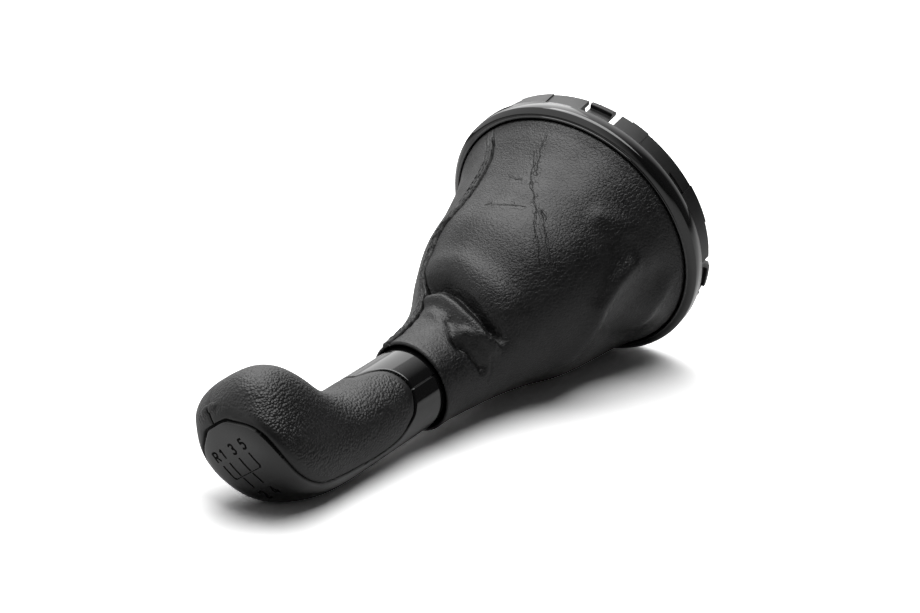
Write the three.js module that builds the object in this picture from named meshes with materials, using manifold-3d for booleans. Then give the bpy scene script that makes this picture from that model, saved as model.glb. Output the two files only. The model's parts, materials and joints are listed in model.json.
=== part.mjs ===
// Gear lever gaiter with its bezel ring and knob, lying on a table on its side.
// Lengths are in millimetres, angles in degrees, and Z points up.
import * as THREE from 'three';
import { mergeVertices } from 'three/addons/utils/BufferGeometryUtils.js';
import Module from 'manifold-3d';

const wasm = await Module();
wasm.setup();

// Bezel ring, the glossy trim around the foot of the gaiter
const BEZEL_R = 68;
const BEZEL_DEPTH = 8.7;
const BEZEL_WALL = 2.2;
const BEZEL_FACE = 3;
const BEZEL_SHOULDER = 2.9;
const BEZEL_CROWN = 0.45;
const BEAD_WIDTH = 1.2;
const BEAD_RISE = 0.5;

// Carrier ring, which snaps into the console and holds the gaiter's foot
const CARRIER_WALL = 2.2;
const CARRIER_DEPTH = 20;
const LEDGE_DEPTH = 14.8;
const LEDGE_THICK = 1.6;
const LEDGE_REACH = 3;
const SNAP_COUNT = 4;
const SNAP_FIRST = 73;
const SNAP_WIDTH = 11.4;
const SNAP_SLOT = 3.4;
const SNAP_ROOT = 10;
const SNAP_LAP = 1.5;
const SNAP_INSET = 0.2;
const SNAP_BARB = 2.2;
const SNAP_BARB_LENGTH = 5;
const SNAP_LEAD = 3;
const PADS = [[-13, -21], [-48, -65]];
const PAD_RISE = 0.5;
const PAD_ROOT = 0.8;
const RECESS_FROM = -38;
const RECESS_TO = -48;
const RECESS_TOP = 9.2;
const RECESS_HEIGHT = 4;
const RECESS_DEPTH = 1.1;

// Hem ring, which pinches the gaiter's foot against the carrier
const HEM_RING_WALL = 2.2;
const HEM_RING_HEIGHT = 10;

// Leather gaiter
const LEATHER = 1.1;
const GAITER_LENGTH = 131.1;
const GAITER_FOOT_DEPTH = 12.5;
const GAITER_RIM_R = 21.2;
const SEAM_WIDTH = 5;
const SEAM_RISE = 0.9;
const SEAM_GROOVE = 0.8;
const FOOT_TURN = 1;
const HEM_DEPTH = 14;
const HEM_TURN = 2.2;
const RIM_ROLL = 0.5;
const RIM_FOLD = 3.6;

// Where the knob stands on the gaiter: across the ring's axis, and turned on X, Y and Z
const NECK_RISE = 2.6;
const KNOB_TILT = -10.5;
const KNOB_SWAY = -2.2;
const KNOB_TURN = 34.9;

// How far the gaiter runs straight out of the ring and into the knob, as shares of its length
const FOOT_RUN = 0.42;
const RIM_RUN = 0.34;

// Knob, measured up from the gaiter's rim
const NECK_R = 18.8;
const NECK_HEIGHT = 46;
const KNOB_HEIGHT = 99.5;
const HEAD_REACH = 44.3;
const HEAD_HALF_WIDTH = 24.8;
const SHELL = 2.6;
const GROOVE = 0.6;
const COLLAR_DROP = 3;
const COLLAR_SIDE = 16;
const COLLAR_FRONT = 31.5;
const COLLAR_BACK = 28;
const NOSE_SPLIT = 0.775;

// Knob core, its spigot and the lever socket
const SPIGOT_R = 14.6;
const SPIGOT_LENGTH = 20;
const TAIL_R = 12;
const TAIL_LENGTH = 34;
const TAIL_SLOTS = 4;
const TAIL_SLOT_WIDTH = 1.6;
const BUSH_R = 9;
const LEVER_R = 6;
const SOCKET_DEPTH = 34;

// Neck ring, tie, retaining clip and lever clamp
const NECK_RING_HEIGHT = 12;
const NECK_RING_FLANGE = 1.4;
const TIE_WIDTH = 3.6;
const TIE_THICK = 0.8;
const TIE_HEAD = 4.6;
const TIE_HEAD_RISE = 1.5;
const TIE_HEAD_LAP = 0.2;
const TIE_HEAD_ANGLE = 150;
const CLIP_THICK = 1.4;
const CLIP_GROOVE = 1.8;
const CLIP_REACH = 2.4;
const CLIP_OPENING = 12;
const CLAMP_WIDTH = 6;
const CLAMP_THICK = 1;
const CLAMP_EAR = 4;
const CLAMP_EAR_RISE = 2;
const SPIGOT_SPACE = 1.5;
const FLANGE = 1.6;

// Clearances
const FIT = 0.35;
const MOUTH_GAP = 0.6;
const LEVER_PLAY = 0.1;
const CUT_PAST = 5;

// Fineness of the round faces
const RING_SEGMENTS = 48;
const SMALL_SEGMENTS = 32;
const GAITER_COLUMNS = 54;
const GAITER_ROWS = 25;
const ROW_CROWDING = 0.45;
const ROW_SHIFT = 0.2;
const KNOB_COLUMNS = 36;
const LINING_COLUMNS = 24;
const ROUND_STEPS = 3;

const radians = THREE.MathUtils.degToRad;
const mix = THREE.MathUtils.lerp;

// Smooth curve through values given at rising knots
function through(knots, values, x) {
  const last = knots.length - 1;
  let k = 0;
  while (k < last - 1 && x > knots[k + 1]) k += 1;
  const slope = (i) => {
    const low = Math.max(i - 1, 0);
    const high = Math.min(i + 1, last);
    return (values[high] - values[low]) / (knots[high] - knots[low]);
  };
  const span = knots[k + 1] - knots[k];
  const u = THREE.MathUtils.clamp((x - knots[k]) / span, 0, 1);
  const rise = (2 * u - 3) * u * u;
  return values[k] * (1 + rise) - values[k + 1] * rise
    + span * slope(k) * u * (1 - u) * (1 - u) - span * slope(k + 1) * u * u * (1 - u);
}

// Closed solids from rings of points, with no normals or texture coordinates
function closedGeometry(points, triangles) {
  const geometry = new THREE.BufferGeometry();
  geometry.setAttribute('position', new THREE.Float32BufferAttribute(points, 3));
  geometry.setIndex(triangles);
  return facingOut(geometry);
}

function volumeOf(geometry) {
  const position = geometry.attributes.position;
  const index = geometry.index;
  const [a, b, c] = [new THREE.Vector3(), new THREE.Vector3(), new THREE.Vector3()];
  let sum = 0;
  for (let i = 0; i < index.count; i += 3) {
    a.fromBufferAttribute(position, index.getX(i));
    b.fromBufferAttribute(position, index.getX(i + 1));
    c.fromBufferAttribute(position, index.getX(i + 2));
    sum += a.dot(b.cross(c)) / 6;
  }
  return sum;
}

function facingOut(geometry) {
  if (volumeOf(geometry) > 0) return geometry;
  const turned = [];
  for (let i = 0; i < geometry.index.count; i += 3) {
    turned.push(geometry.index.getX(i), geometry.index.getX(i + 2), geometry.index.getX(i + 1));
  }
  geometry.setIndex(turned);
  return geometry;
}

function band(triangles, ringA, ringB, count) {
  for (let j = 0; j < count; j += 1) {
    const next = (j + 1) % count;
    const [a, b] = [ringA * count + j, ringA * count + next];
    const [c, d] = [ringB * count + j, ringB * count + next];
    triangles.push(a, b, c, b, d, c);
  }
}

function skin(rings, closesOnItself) {
  const count = rings[0].length;
  const points = rings.flat().flatMap((point) => point.toArray());
  const triangles = [];
  for (let i = 0; i < rings.length - 1; i += 1) band(triangles, i, i + 1, count);
  if (closesOnItself) {
    band(triangles, rings.length - 1, 0, count);
    return closedGeometry(points, triangles);
  }
  for (const [ring, order] of [[0, 1], [rings.length - 1, -1]]) {
    const middle = new THREE.Vector3();
    rings[ring].forEach((point) => middle.add(point));
    middle.divideScalar(count);
    const hub = points.length / 3;
    points.push(...middle.toArray());
    for (let j = 0; j < count; j += 1) {
      const [a, b] = [ring * count + j, ring * count + ((j + 1) % count)];
      triangles.push(...(order > 0 ? [hub, b, a] : [hub, a, b]));
    }
  }
  return closedGeometry(points, triangles);
}

function bare(geometry) {
  const copy = geometry.clone();
  copy.deleteAttribute('normal');
  copy.deleteAttribute('uv');
  return facingOut(mergeVertices(copy, 1e-5));
}

function solid(geometry) {
  return new wasm.Manifold(new wasm.Mesh({
    numProp: 3,
    vertProperties: new Float32Array(geometry.attributes.position.array),
    triVerts: new Uint32Array(geometry.index.array),
  }));
}

function geometryOf(manifold) {
  const mesh = manifold.getMesh();
  const geometry = new THREE.BufferGeometry();
  geometry.setAttribute('position', new THREE.BufferAttribute(mesh.vertProperties, 3));
  geometry.setIndex(new THREE.BufferAttribute(mesh.triVerts, 1));
  return geometry;
}

// A ring turned about Z from a closed outline of (radius, height) points, with a flat side down
function turned(outline, segments) {
  const profile = outline.map(([radius, height]) => new THREE.Vector2(radius, height));
  profile.push(profile[0].clone());
  const start = Math.PI / segments;
  return bare(new THREE.LatheGeometry(profile, segments, start).rotateX(Math.PI / 2));
}

function tube(inner, outer, bottom, top, segments) {
  return turned([[inner, bottom], [outer, bottom], [outer, top], [inner, top]], segments);
}

function rod(radius, bottom, top, segments) {
  const shape = new THREE.CylinderGeometry(radius, radius, top - bottom, segments);
  return bare(shape.rotateX(Math.PI / 2).translate(0, 0, (bottom + top) / 2));
}

// A block that points outwards at an angle about Z
function spoke(angle, from, to, width, bottom, top) {
  const block = new THREE.BoxGeometry(to - from, width, top - bottom);
  block.translate((from + to) / 2, 0, (bottom + top) / 2);
  return bare(block.rotateZ(radians(angle)));
}

// A solid of constant section in the plane of the axis, pointing outwards at an angle
function finned(angle, outline, width) {
  const shape = new THREE.Shape(outline.map(([radius, height]) => new THREE.Vector2(radius, height)));
  const block = new THREE.ExtrudeGeometry(shape, { depth: width, bevelEnabled: false });
  block.translate(0, 0, -width / 2).rotateX(Math.PI / 2);
  return bare(block.rotateZ(radians(angle)));
}

// Radii at the foot: the gaiter lines the carrier and comes out through the bezel's mouth
const carrierOuter = BEZEL_R - BEZEL_WALL - FIT;
const carrierInner = carrierOuter - CARRIER_WALL;
const footR = carrierInner - FIT;
const mouthR = footR + MOUTH_GAP;

// Bezel ring
function bezelRing() {
  const beadFoot = mouthR + BEAD_WIDTH;
  const outline = [[BEZEL_R, -BEZEL_DEPTH]];
  for (let i = 0; i <= ROUND_STEPS; i += 1) {
    const share = i / ROUND_STEPS;
    const crown = BEZEL_CROWN * Math.sin(Math.PI * share);
    outline.push([mix(BEZEL_R, beadFoot, share), mix(-BEZEL_SHOULDER, -BEAD_RISE, share) + crown]);
  }
  outline.push([mouthR + BEAD_WIDTH / 2, 0]);
  outline.push([mouthR, -BEAD_RISE]);
  outline.push([mouthR, -BEZEL_FACE]);
  outline.push([BEZEL_R - BEZEL_WALL, -BEZEL_FACE]);
  outline.push([BEZEL_R - BEZEL_WALL, -BEZEL_DEPTH]);
  return turned(outline, RING_SEGMENTS);
}

// Carrier ring
const snapReach = carrierOuter + SNAP_BARB;
const snapStep = 360 / SNAP_COUNT;

function carrierRing() {
  const ledgeInner = carrierInner - LEDGE_REACH;
  const ledgeUnder = -LEDGE_DEPTH - LEDGE_THICK;
  const ring = turned([
    [carrierOuter, -CARRIER_DEPTH],
    [carrierOuter, -BEZEL_FACE - FIT],
    [carrierInner, -BEZEL_FACE - FIT],
    [carrierInner, -LEDGE_DEPTH],
    [ledgeInner, -LEDGE_DEPTH],
    [ledgeInner, ledgeUnder],
    [carrierInner, ledgeUnder],
    [carrierInner, -CARRIER_DEPTH],
  ], RING_SEGMENTS);
  const padBand = solid(tube(carrierOuter - PAD_ROOT, carrierOuter + PAD_RISE, -CARRIER_DEPTH,
    -BEZEL_DEPTH - FIT, RING_SEGMENTS));
  let body = solid(ring);
  for (let k = 0; k < SNAP_COUNT; k += 1) {
    const middle = SNAP_FIRST - k * snapStep;
    const cut = spoke(middle, ledgeInner - CUT_PAST, carrierOuter + CUT_PAST,
      SNAP_WIDTH + 2 * SNAP_SLOT, -CARRIER_DEPTH - CUT_PAST, -SNAP_ROOT);
    body = body.subtract(solid(cut));
    const recessWidth = carrierOuter * radians(RECESS_FROM - RECESS_TO);
    const recess = spoke(middle + (RECESS_FROM + RECESS_TO) / 2, carrierOuter - RECESS_DEPTH,
      carrierOuter + CUT_PAST, recessWidth, -RECESS_TOP - RECESS_HEIGHT, -RECESS_TOP);
    body = body.subtract(solid(recess));
    const tongue = finned(middle, [
      [carrierInner + SNAP_INSET, -SNAP_ROOT + SNAP_LAP],
      [carrierInner + SNAP_INSET, -CARRIER_DEPTH],
      [carrierOuter, -CARRIER_DEPTH],
      [snapReach, -CARRIER_DEPTH + SNAP_LEAD],
      [snapReach, -CARRIER_DEPTH + SNAP_BARB_LENGTH],
      [carrierOuter - SNAP_INSET, -CARRIER_DEPTH + SNAP_BARB_LENGTH],
      [carrierOuter - SNAP_INSET, -SNAP_ROOT + SNAP_LAP],
    ], SNAP_WIDTH);
    body = body.add(solid(tongue));
    for (const [from, to] of PADS) {
      const width = 2 * carrierOuter * Math.sin(radians(from - to) / 2);
      const sector = spoke(middle + (from + to) / 2, carrierInner, carrierOuter + CUT_PAST, width,
        -CARRIER_DEPTH - CUT_PAST, CUT_PAST);
      body = body.add(padBand.intersect(solid(sector)));
    }
  }
  return geometryOf(body);
}

// Hem ring
const hemRingOuter = footR - LEATHER - FIT;

function hemRing() {
  const bottom = -LEDGE_DEPTH + FIT;
  return tube(hemRingOuter - HEM_RING_WALL, hemRingOuter, bottom, bottom + HEM_RING_HEIGHT,
    RING_SEGMENTS);
}

// Where the knob stands, in the ring's frame
const knobTurn = new THREE.Euler(radians(KNOB_TILT), radians(KNOB_SWAY), radians(KNOB_TURN));
const knobPlace = new THREE.Vector3(0, NECK_RISE, GAITER_LENGTH);
const knobUp = new THREE.Vector3(0, 0, 1).applyEuler(knobTurn);

// The gaiter's middle line runs straight out of the ring and straight into the knob
const middleLine = new THREE.CubicBezierCurve3(
  new THREE.Vector3(),
  new THREE.Vector3(0, 0, GAITER_LENGTH * FOOT_RUN),
  knobPlace.clone().addScaledVector(knobUp, -GAITER_LENGTH * RIM_RUN),
  knobPlace,
);

function crossFrame(along) {
  const centre = middleLine.getPoint(along);
  const forward = middleLine.getTangent(along);
  const across = new THREE.Vector3(1, 0, 0).addScaledVector(forward, -forward.x).normalize();
  return { centre, across, upward: forward.clone().cross(across), forward };
}

function onCircle(frame, angle, radius, lift = 0) {
  const turn = radians(angle);
  return frame.centre.clone()
    .addScaledVector(frame.across, radius * Math.cos(turn))
    .addScaledVector(frame.upward, radius * Math.sin(turn))
    .addScaledVector(frame.forward, lift);
}

// Radius of the gaiter, from 1 at the foot to 0 at the rim, on its upper left and lower right
const SIDE_AT = [0, 0.03, 0.12, 0.25, 0.4, 0.55, 0.7, 0.82, 0.92, 1];
const UPPER_SIDE = [1, 0.935, 0.79, 0.667, 0.585, 0.405, 0.185, 0.082, 0.034, 0];
const LOWER_SIDE = [1, 0.943, 0.835, 0.703, 0.542, 0.317, 0.153, 0.058, 0.01, 0];
const UPPER_ANGLE = 135;

// Front seam: its angle on the way from foot to rim
const SEAM_AT = [0, 0.1, 0.2, 0.34, 0.45, 0.6, 0.68, 0.76, 0.94, 1];
const SEAM_ANGLE = [122, 115, 115, 118, 126, 127, 122, 114, 113, 119];

// Folds: path of [angle, share of the length], height and width
const FOLDS = [
  { path: [[118, 0.675], [98, 0.665], [70, 0.7], [48, 0.71], [28, 0.715]], height: -4.4, width: 3.2 },
  { path: [[122, 0.6], [95, 0.59], [68, 0.62], [44, 0.63]], height: 2, width: 8 },
  { path: [[112, 0.745], [96, 0.735], [64, 0.765], [40, 0.765], [26, 0.745]], height: 2.3, width: 3.4 },
  { path: [[46, 0.86], [30, 0.84], [12, 0.825]], height: -2.2, width: 2.6 },
  { path: [[52, 0.81], [38, 0.785], [24, 0.765]], height: 1.5, width: 3 },
  { path: [[12, 0.18], [9, 0.26], [2, 0.34], [-10, 0.4], [-24, 0.48]], height: 2.8, width: 4.6 },
  { path: [[-2, 0.08], [-8, 0.2], [-20, 0.3]], height: -2, width: 7 },
  { path: [[-8, 0.04], [-17, 0.1], [-29, 0.15]], height: 2.2, width: 5 },
  { path: [[-30, 0.24], [-42, 0.12]], height: -3.4, width: 9 },
  { path: [[42, 0.17], [28, 0.12]], height: 1, width: 4 },
  { path: [[-95, 0.14], [-100, 0.3], [-112, 0.5]], height: 2.6, width: 6 },
  { path: [[-128, 0.1], [-134, 0.26], [-130, 0.42]], height: -2.6, width: 7 },
  { path: [[-160, 0.2], [-172, 0.38], [-166, 0.56]], height: 2.4, width: 6 },
  { path: [[-70, 0.72], [-110, 0.69], [-150, 0.71]], height: -2.4, width: 4 },
  { path: [[-80, 0.79], [-115, 0.77], [-150, 0.785]], height: 1.6, width: 4 },
];

function plainRadius(angle, along) {
  const lean = 0.5 + 0.5 * Math.cos(radians(angle - UPPER_ANGLE));
  const share = mix(through(SIDE_AT, LOWER_SIDE, along), through(SIDE_AT, UPPER_SIDE, along), lean);
  return mix(GAITER_RIM_R, footR, share);
}

function awayFrom(path, angle, along, radius) {
  let least = Infinity;
  for (let i = 0; i < path.length - 1; i += 1) {
    const [startAngle, startShare] = path[i];
    const [endAngle, endShare] = path[i + 1];
    const apart = ((startAngle - angle + 900) % 360) - 180;
    const start = new THREE.Vector2(radians(apart) * radius, (startShare - along) * GAITER_LENGTH);
    const step = new THREE.Vector2(radians(endAngle - startAngle) * radius,
      (endShare - startShare) * GAITER_LENGTH);
    const reach = THREE.MathUtils.clamp(-start.dot(step) / step.lengthSq(), 0, 1);
    least = Math.min(least, start.addScaledVector(step, reach).length());
  }
  return least;
}

// Folds fade out towards the foot and the rim
const FOOT_FADE = 0.08;
const RIM_FADE = 0.1;
function foldHeight(angle, along, radius) {
  const fade = THREE.MathUtils.clamp(Math.min(along / FOOT_FADE, (1 - along) / RIM_FADE), 0, 1);
  let sum = 0;
  for (const fold of FOLDS) {
    const away = awayFrom(fold.path, angle, along, radius) / fold.width;
    sum += fold.height * Math.exp(-away * away);
  }
  return sum * fade;
}

// The seam is a raised band beside a groove; offset is how far a point lies past the groove
function seamHeight(offset) {
  const away = offset / SEAM_GROOVE;
  const raised = offset > 0 && offset < SEAM_WIDTH ? Math.sin(Math.PI * offset / SEAM_WIDTH) : 0;
  return SEAM_RISE * raised - SEAM_GROOVE * Math.exp(-away * away);
}

// Columns stand closer together at the seam
const SEAM_COLUMNS = [-2.4, 0, 1.6, 3.6, 5.4];
function columnAngle(column, along, radius) {
  const seam = through(SEAM_AT, SEAM_ANGLE, along);
  const degreesPerMm = 180 / (Math.PI * radius);
  if (column < SEAM_COLUMNS.length) return seam + SEAM_COLUMNS[column] * degreesPerMm;
  const from = SEAM_COLUMNS[SEAM_COLUMNS.length - 1] * degreesPerMm;
  const to = 360 + SEAM_COLUMNS[0] * degreesPerMm;
  const steps = GAITER_COLUMNS - SEAM_COLUMNS.length + 1;
  return seam + mix(from, to, (column - SEAM_COLUMNS.length + 1) / steps);
}

const SLOPE_STEP = 0.01;
function gaiterRing(along, thickness) {
  const frame = crossFrame(along);
  const middle = plainRadius(UPPER_ANGLE - 90, along);
  const seam = through(SEAM_AT, SEAM_ANGLE, along);
  const ring = [];
  for (let column = 0; column < GAITER_COLUMNS; column += 1) {
    const angle = columnAngle(column, along, middle);
    const radius = plainRadius(angle, along);
    const further = plainRadius(angle, Math.min(along + SLOPE_STEP, 1));
    const slope = (further - radius) / (SLOPE_STEP * GAITER_LENGTH);
    const stand = thickness > 0 ? 0 : seamHeight(radians(angle - seam) * radius);
    const height = foldHeight(angle, along, radius) + stand;
    ring.push(onCircle(frame, angle, radius + height - thickness * Math.hypot(1, slope)));
  }
  return ring;
}

function plainRing(along, radius, lift) {
  const frame = crossFrame(along);
  const middle = plainRadius(UPPER_ANGLE - 90, along);
  const ring = [];
  for (let column = 0; column < GAITER_COLUMNS; column += 1) {
    ring.push(onCircle(frame, columnAngle(column, along, middle), radius, lift));
  }
  return ring;
}

// Radii of what the gaiter's rim is tied to
const neckRingInner = SPIGOT_R + FIT;
const collarClear = NECK_R + 3 * FIT;
const neckRingOuter = NECK_R - 3.5 * FIT;
const hemInner = neckRingOuter + FIT;
const hemOuter = hemInner + LEATHER - SNAP_INSET / 2;

// Rows stand closer together about the folds above the knob
function rowShare(even) {
  const wave = (value) => Math.sin(2 * Math.PI * value);
  return even + (ROW_CROWDING / (2 * Math.PI)) * (wave(even - ROW_SHIFT) + wave(ROW_SHIFT));
}

function leatherGaiter() {
  const footLifts = [-GAITER_FOOT_DEPTH, -GAITER_FOOT_DEPTH / 2, -FOOT_TURN];
  const share = (row) => rowShare(row / GAITER_ROWS);
  const rings = footLifts.map((lift) => plainRing(0, footR, lift));
  for (let row = 1; row < GAITER_ROWS; row += 1) rings.push(gaiterRing(share(row), 0));
  const rim = [
    [GAITER_RIM_R, -RIM_ROLL],
    [(GAITER_RIM_R + collarClear) / 2, 0],
    [collarClear, -RIM_ROLL],
    [collarClear - FIT, -COLLAR_DROP - FIT / 2],
    [hemInner, -COLLAR_DROP - HEM_TURN],
    [hemInner, -HEM_DEPTH],
    [hemOuter, -HEM_DEPTH],
    [hemOuter, -COLLAR_DROP - HEM_TURN - LEATHER],
    [GAITER_RIM_R - LEATHER, -RIM_FOLD],
  ];
  for (const [radius, lift] of rim) rings.push(plainRing(1, radius, lift));
  for (let row = GAITER_ROWS - 2; row >= 1; row -= 1) rings.push(gaiterRing(share(row), LEATHER));
  for (const lift of footLifts.reverse()) rings.push(plainRing(0, footR - LEATHER, lift));
  return skin(rings, true);
}

// Knob outline by stations: where the front and back stand, half width, squareness of the
// back and of the nose, and the pattern plate's share of the knob's half width
const HEAD_STATIONS = [
  { front: [0.02, 0.03], back: [0, 0.075], width: 0.01, square: 2, nose: 2, plate: 0.407 },
  { front: [0.165, 0.112], back: [0.005, 0.26], width: 0.13, square: 2.1, nose: 2, plate: 0.452 },
  { front: [0.31, 0.165], back: [0.025, 0.45], width: 0.37, square: 2.3, nose: 2.1, plate: 0.5 },
  { front: [0.505, 0.23], back: [0.071, 0.61], width: 0.63, square: 2.7, nose: 2.3, plate: 0.52 },
  { front: [0.705, 0.32], back: [0.14, 0.75], width: 0.87, square: 3.2, nose: 2.5, plate: 0.637 },
  { front: [0.85, 0.42], back: [0.25, 0.856], width: 1, square: 4, nose: 2.7, plate: 0.762 },
  { front: [0.95, 0.53], back: [0.393, 0.927], width: 0.97, square: 4.6, nose: 2.7, plate: 0.847 },
  { front: [0.983, 0.64], back: [0.52, 0.964], width: 0.72, square: 5.2, nose: 2.6, plate: 0.855 },
  { front: [0.975, 0.745], back: [0.63, 0.981], width: 0.24, square: 4.8, nose: 2.5, plate: 0.746 },
  { front: [0.925, 0.825], back: [0.718, 0.99], width: -0.45, square: 3.2, nose: 2.3, plate: 0.444 },
  { front: [0.83, 0.9], back: [0.797, 0.99], width: -1.35, square: 2.4, nose: 2.2, plate: 0.097 },
  { front: [0.76, 0.94], back: [0.85, 0.978], width: -2.1, square: 2.2, nose: 2.1, plate: 0 },
];
const stationAt = HEAD_STATIONS.map((station, i) => i + 1);
const HEAD_END = HEAD_STATIONS.length;
const LEAST_HALF = 0.8;

// Section of the knob: below 1 it is the round neck, above 1 it is the head
function knobSection(at) {
  if (at < 1) {
    const height = mix(-COLLAR_DROP, NECK_HEIGHT, at);
    return {
      front: new THREE.Vector2(NECK_R, height),
      back: new THREE.Vector2(-NECK_R, height),
      width: NECK_R,
      square: 2,
      nose: 2,
    };
  }
  const read = (pick) => through(stationAt, HEAD_STATIONS.map(pick), at);
  const rise = (share) => mix(NECK_HEIGHT, KNOB_HEIGHT, share);
  return {
    front: new THREE.Vector2(mix(NECK_R, HEAD_REACH, read((s) => s.front[0])),
      rise(read((s) => s.front[1]))),
    back: new THREE.Vector2(mix(-NECK_R, HEAD_REACH, read((s) => s.back[0])),
      rise(read((s) => s.back[1]))),
    width: mix(NECK_R, HEAD_HALF_WIDTH, read((s) => s.width)),
    square: read((s) => s.square),
    nose: read((s) => s.nose),
    plate: HEAD_HALF_WIDTH * Math.max(read((s) => s.plate), 0),
  };
}

function knobRing(at, inset, columns) {
  const section = knobSection(at);
  const middle = section.front.clone().add(section.back).divideScalar(2);
  const along = section.back.clone().sub(section.front);
  const halfLength = along.length() / 2 - inset;
  const halfWidth = section.width - inset;
  if (Math.min(halfLength, halfWidth) < LEAST_HALF) return null;
  along.normalize();
  const ring = [];
  for (let j = 0; j < columns; j += 1) {
    const turn = (2 * Math.PI * j) / columns;
    const power = Math.cos(turn) > 0 ? section.square : section.nose;
    const sum = Math.abs(Math.cos(turn) / halfLength) ** power
      + Math.abs(Math.sin(turn) / halfWidth) ** power;
    const radius = sum ** (-1 / power);
    const back = radius * Math.cos(turn);
    ring.push(new THREE.Vector3(radius * Math.sin(turn), middle.x + along.x * back,
      middle.y + along.y * back));
  }
  return ring;
}

// The knob's whole form, or the same form set in by a wall, with so many steps to a station
function knobBody(inset, bottom, columns, fineness) {
  const rings = [];
  const first = knobRing(0, inset, columns);
  rings.push(first.map((point) => point.clone().setZ(bottom)));
  for (const at of [0.4, 0.8]) rings.push(knobRing(at, inset, columns));
  for (let step = 0; step <= fineness * (HEAD_END - 1); step += 1) {
    const ring = knobRing(1 + step / fineness, inset, columns);
    if (ring) rings.push(ring);
  }
  return solid(skin(rings, false));
}

// Lower edge of the grips from the front round to the spine: share of the neck's radius, and
// share of the rise from the collar's side to its front, to its back, and up to the head
const FRONT_EDGE = [[1.2, 1], [0.95, 0.97], [0.89, 0.82], [0.82, 0.5], [0.67, 0.21], [0.4, 0.05]];
const BACK_EDGE = [[0, 0], [-0.27, 0.14], [-0.5, 0.31], [-0.68, 0.69], [-0.79, 1]];
const SPINE_EDGE = [[-0.838, 0.22], [-0.86, 0.6], [-0.855, 1]];

// Side view of the grips: lower edge, spine edge, plate edge, and round the front
function gripOutline(grow) {
  const points = [
    ...FRONT_EDGE.map(([out, up]) => [NECK_R * out, mix(COLLAR_SIDE, COLLAR_FRONT, up)]),
    ...BACK_EDGE.map(([out, up]) => [NECK_R * out, mix(COLLAR_SIDE, COLLAR_BACK, up)]),
    ...SPINE_EDGE.map(([out, up]) => [NECK_R * out, mix(COLLAR_BACK, NECK_HEIGHT, up)]),
  ];
  for (let at = 1.5; at <= HEAD_END - 1.25; at += 0.5) {
    const section = knobSection(at);
    const middle = section.front.clone().add(section.back).divideScalar(2);
    const along = section.back.clone().sub(section.front).divideScalar(2);
    const share = Math.min(section.plate / section.width, 0.98);
    const back = (1 - share ** section.square) ** (1 / section.square);
    points.push([middle.x + along.x * back, middle.y + along.y * back]);
  }
  const split = mix(-NECK_R, HEAD_REACH, NOSE_SPLIT);
  points.push([split, KNOB_HEIGHT], [split + 1, KNOB_HEIGHT + CUT_PAST]);
  points.push([HEAD_REACH + CUT_PAST, KNOB_HEIGHT + CUT_PAST]);
  points.push([HEAD_REACH + CUT_PAST, COLLAR_FRONT]);
  const loop = points.map(([x, y]) => new THREE.Vector2(x, y));
  return loop.map((point, i) => {
    const before = loop[(i + loop.length - 1) % loop.length];
    const after = loop[(i + 1) % loop.length];
    const heading = after.clone().sub(before).normalize();
    return new THREE.Vector2(point.x - heading.y * grow, point.y + heading.x * grow);
  });
}

function gripBlock(grow) {
  const shape = new THREE.Shape(gripOutline(grow));
  const width = 3 * HEAD_HALF_WIDTH;
  const block = new THREE.ExtrudeGeometry(shape, { depth: width, bevelEnabled: false });
  block.translate(0, 0, -width / 2);
  block.applyMatrix4(new THREE.Matrix4().makeBasis(
    new THREE.Vector3(0, 1, 0), new THREE.Vector3(0, 0, 1), new THREE.Vector3(1, 0, 0)));
  return solid(bare(block));
}

function box(low, high) {
  const size = high.map((value, i) => value - low[i]);
  const block = new THREE.BoxGeometry(...size);
  return solid(bare(block.translate(...low.map((value, i) => value + size[i] / 2))));
}

const knobReach = 2 * KNOB_HEIGHT;
const outerBody = knobBody(0, -COLLAR_DROP, KNOB_COLUMNS, 2);
const liningBody = knobBody(SHELL, -COLLAR_DROP - CUT_PAST, LINING_COLUMNS, 1);
const layer = outerBody.subtract(liningBody);

function gripHalf(side) {
  const near = side > 0 ? GROOVE / 2 : -knobReach;
  const far = side > 0 ? knobReach : -GROOVE / 2;
  const half = box([near, -knobReach, -knobReach], [far, knobReach, knobReach]);
  return geometryOf(layer.intersect(gripBlock(-GROOVE / 2)).intersect(half));
}

const trim = layer.subtract(gripBlock(GROOVE / 2));
const collarFrontBlock = (gap) => box([-knobReach, gap, -knobReach],
  [knobReach, knobReach, (COLLAR_FRONT + KNOB_HEIGHT) / 2]);

// Knob core with spigot, clip groove, slotted tail and lever socket
const spigotEnd = -COLLAR_DROP - SPIGOT_LENGTH;
const neckRingTop = -COLLAR_DROP - 3 * FIT;
const neckRingBottom = neckRingTop - NECK_RING_HEIGHT;
const clipTop = neckRingBottom - FIT;
const clipBottom = clipTop - CLIP_THICK;
const socketR = BUSH_R + FIT;

function knobCore() {
  let body = knobBody(SHELL + FIT, -COLLAR_DROP, LINING_COLUMNS, 1);
  body = body.add(solid(rod(SPIGOT_R, spigotEnd, 0, SMALL_SEGMENTS)));
  body = body.add(solid(rod(TAIL_R, -TAIL_LENGTH, 0, SMALL_SEGMENTS)));
  body = body.subtract(solid(tube(SPIGOT_R - CLIP_GROOVE, SPIGOT_R + CUT_PAST, clipBottom - FIT,
    clipTop + FIT, SMALL_SEGMENTS)));
  const socketEnd = SOCKET_DEPTH + FIT;
  body = body.subtract(solid(rod(socketR, -TAIL_LENGTH - CUT_PAST, socketEnd, SMALL_SEGMENTS)));
  for (let k = 0; k < TAIL_SLOTS; k += 1) {
    const angle = (k + 0.5) * (360 / TAIL_SLOTS);
    body = body.subtract(solid(spoke(angle, LEVER_R, TAIL_R + CUT_PAST, TAIL_SLOT_WIDTH,
      -TAIL_LENGTH - CUT_PAST, spigotEnd - SPIGOT_SPACE)));
  }
  return geometryOf(body);
}

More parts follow.
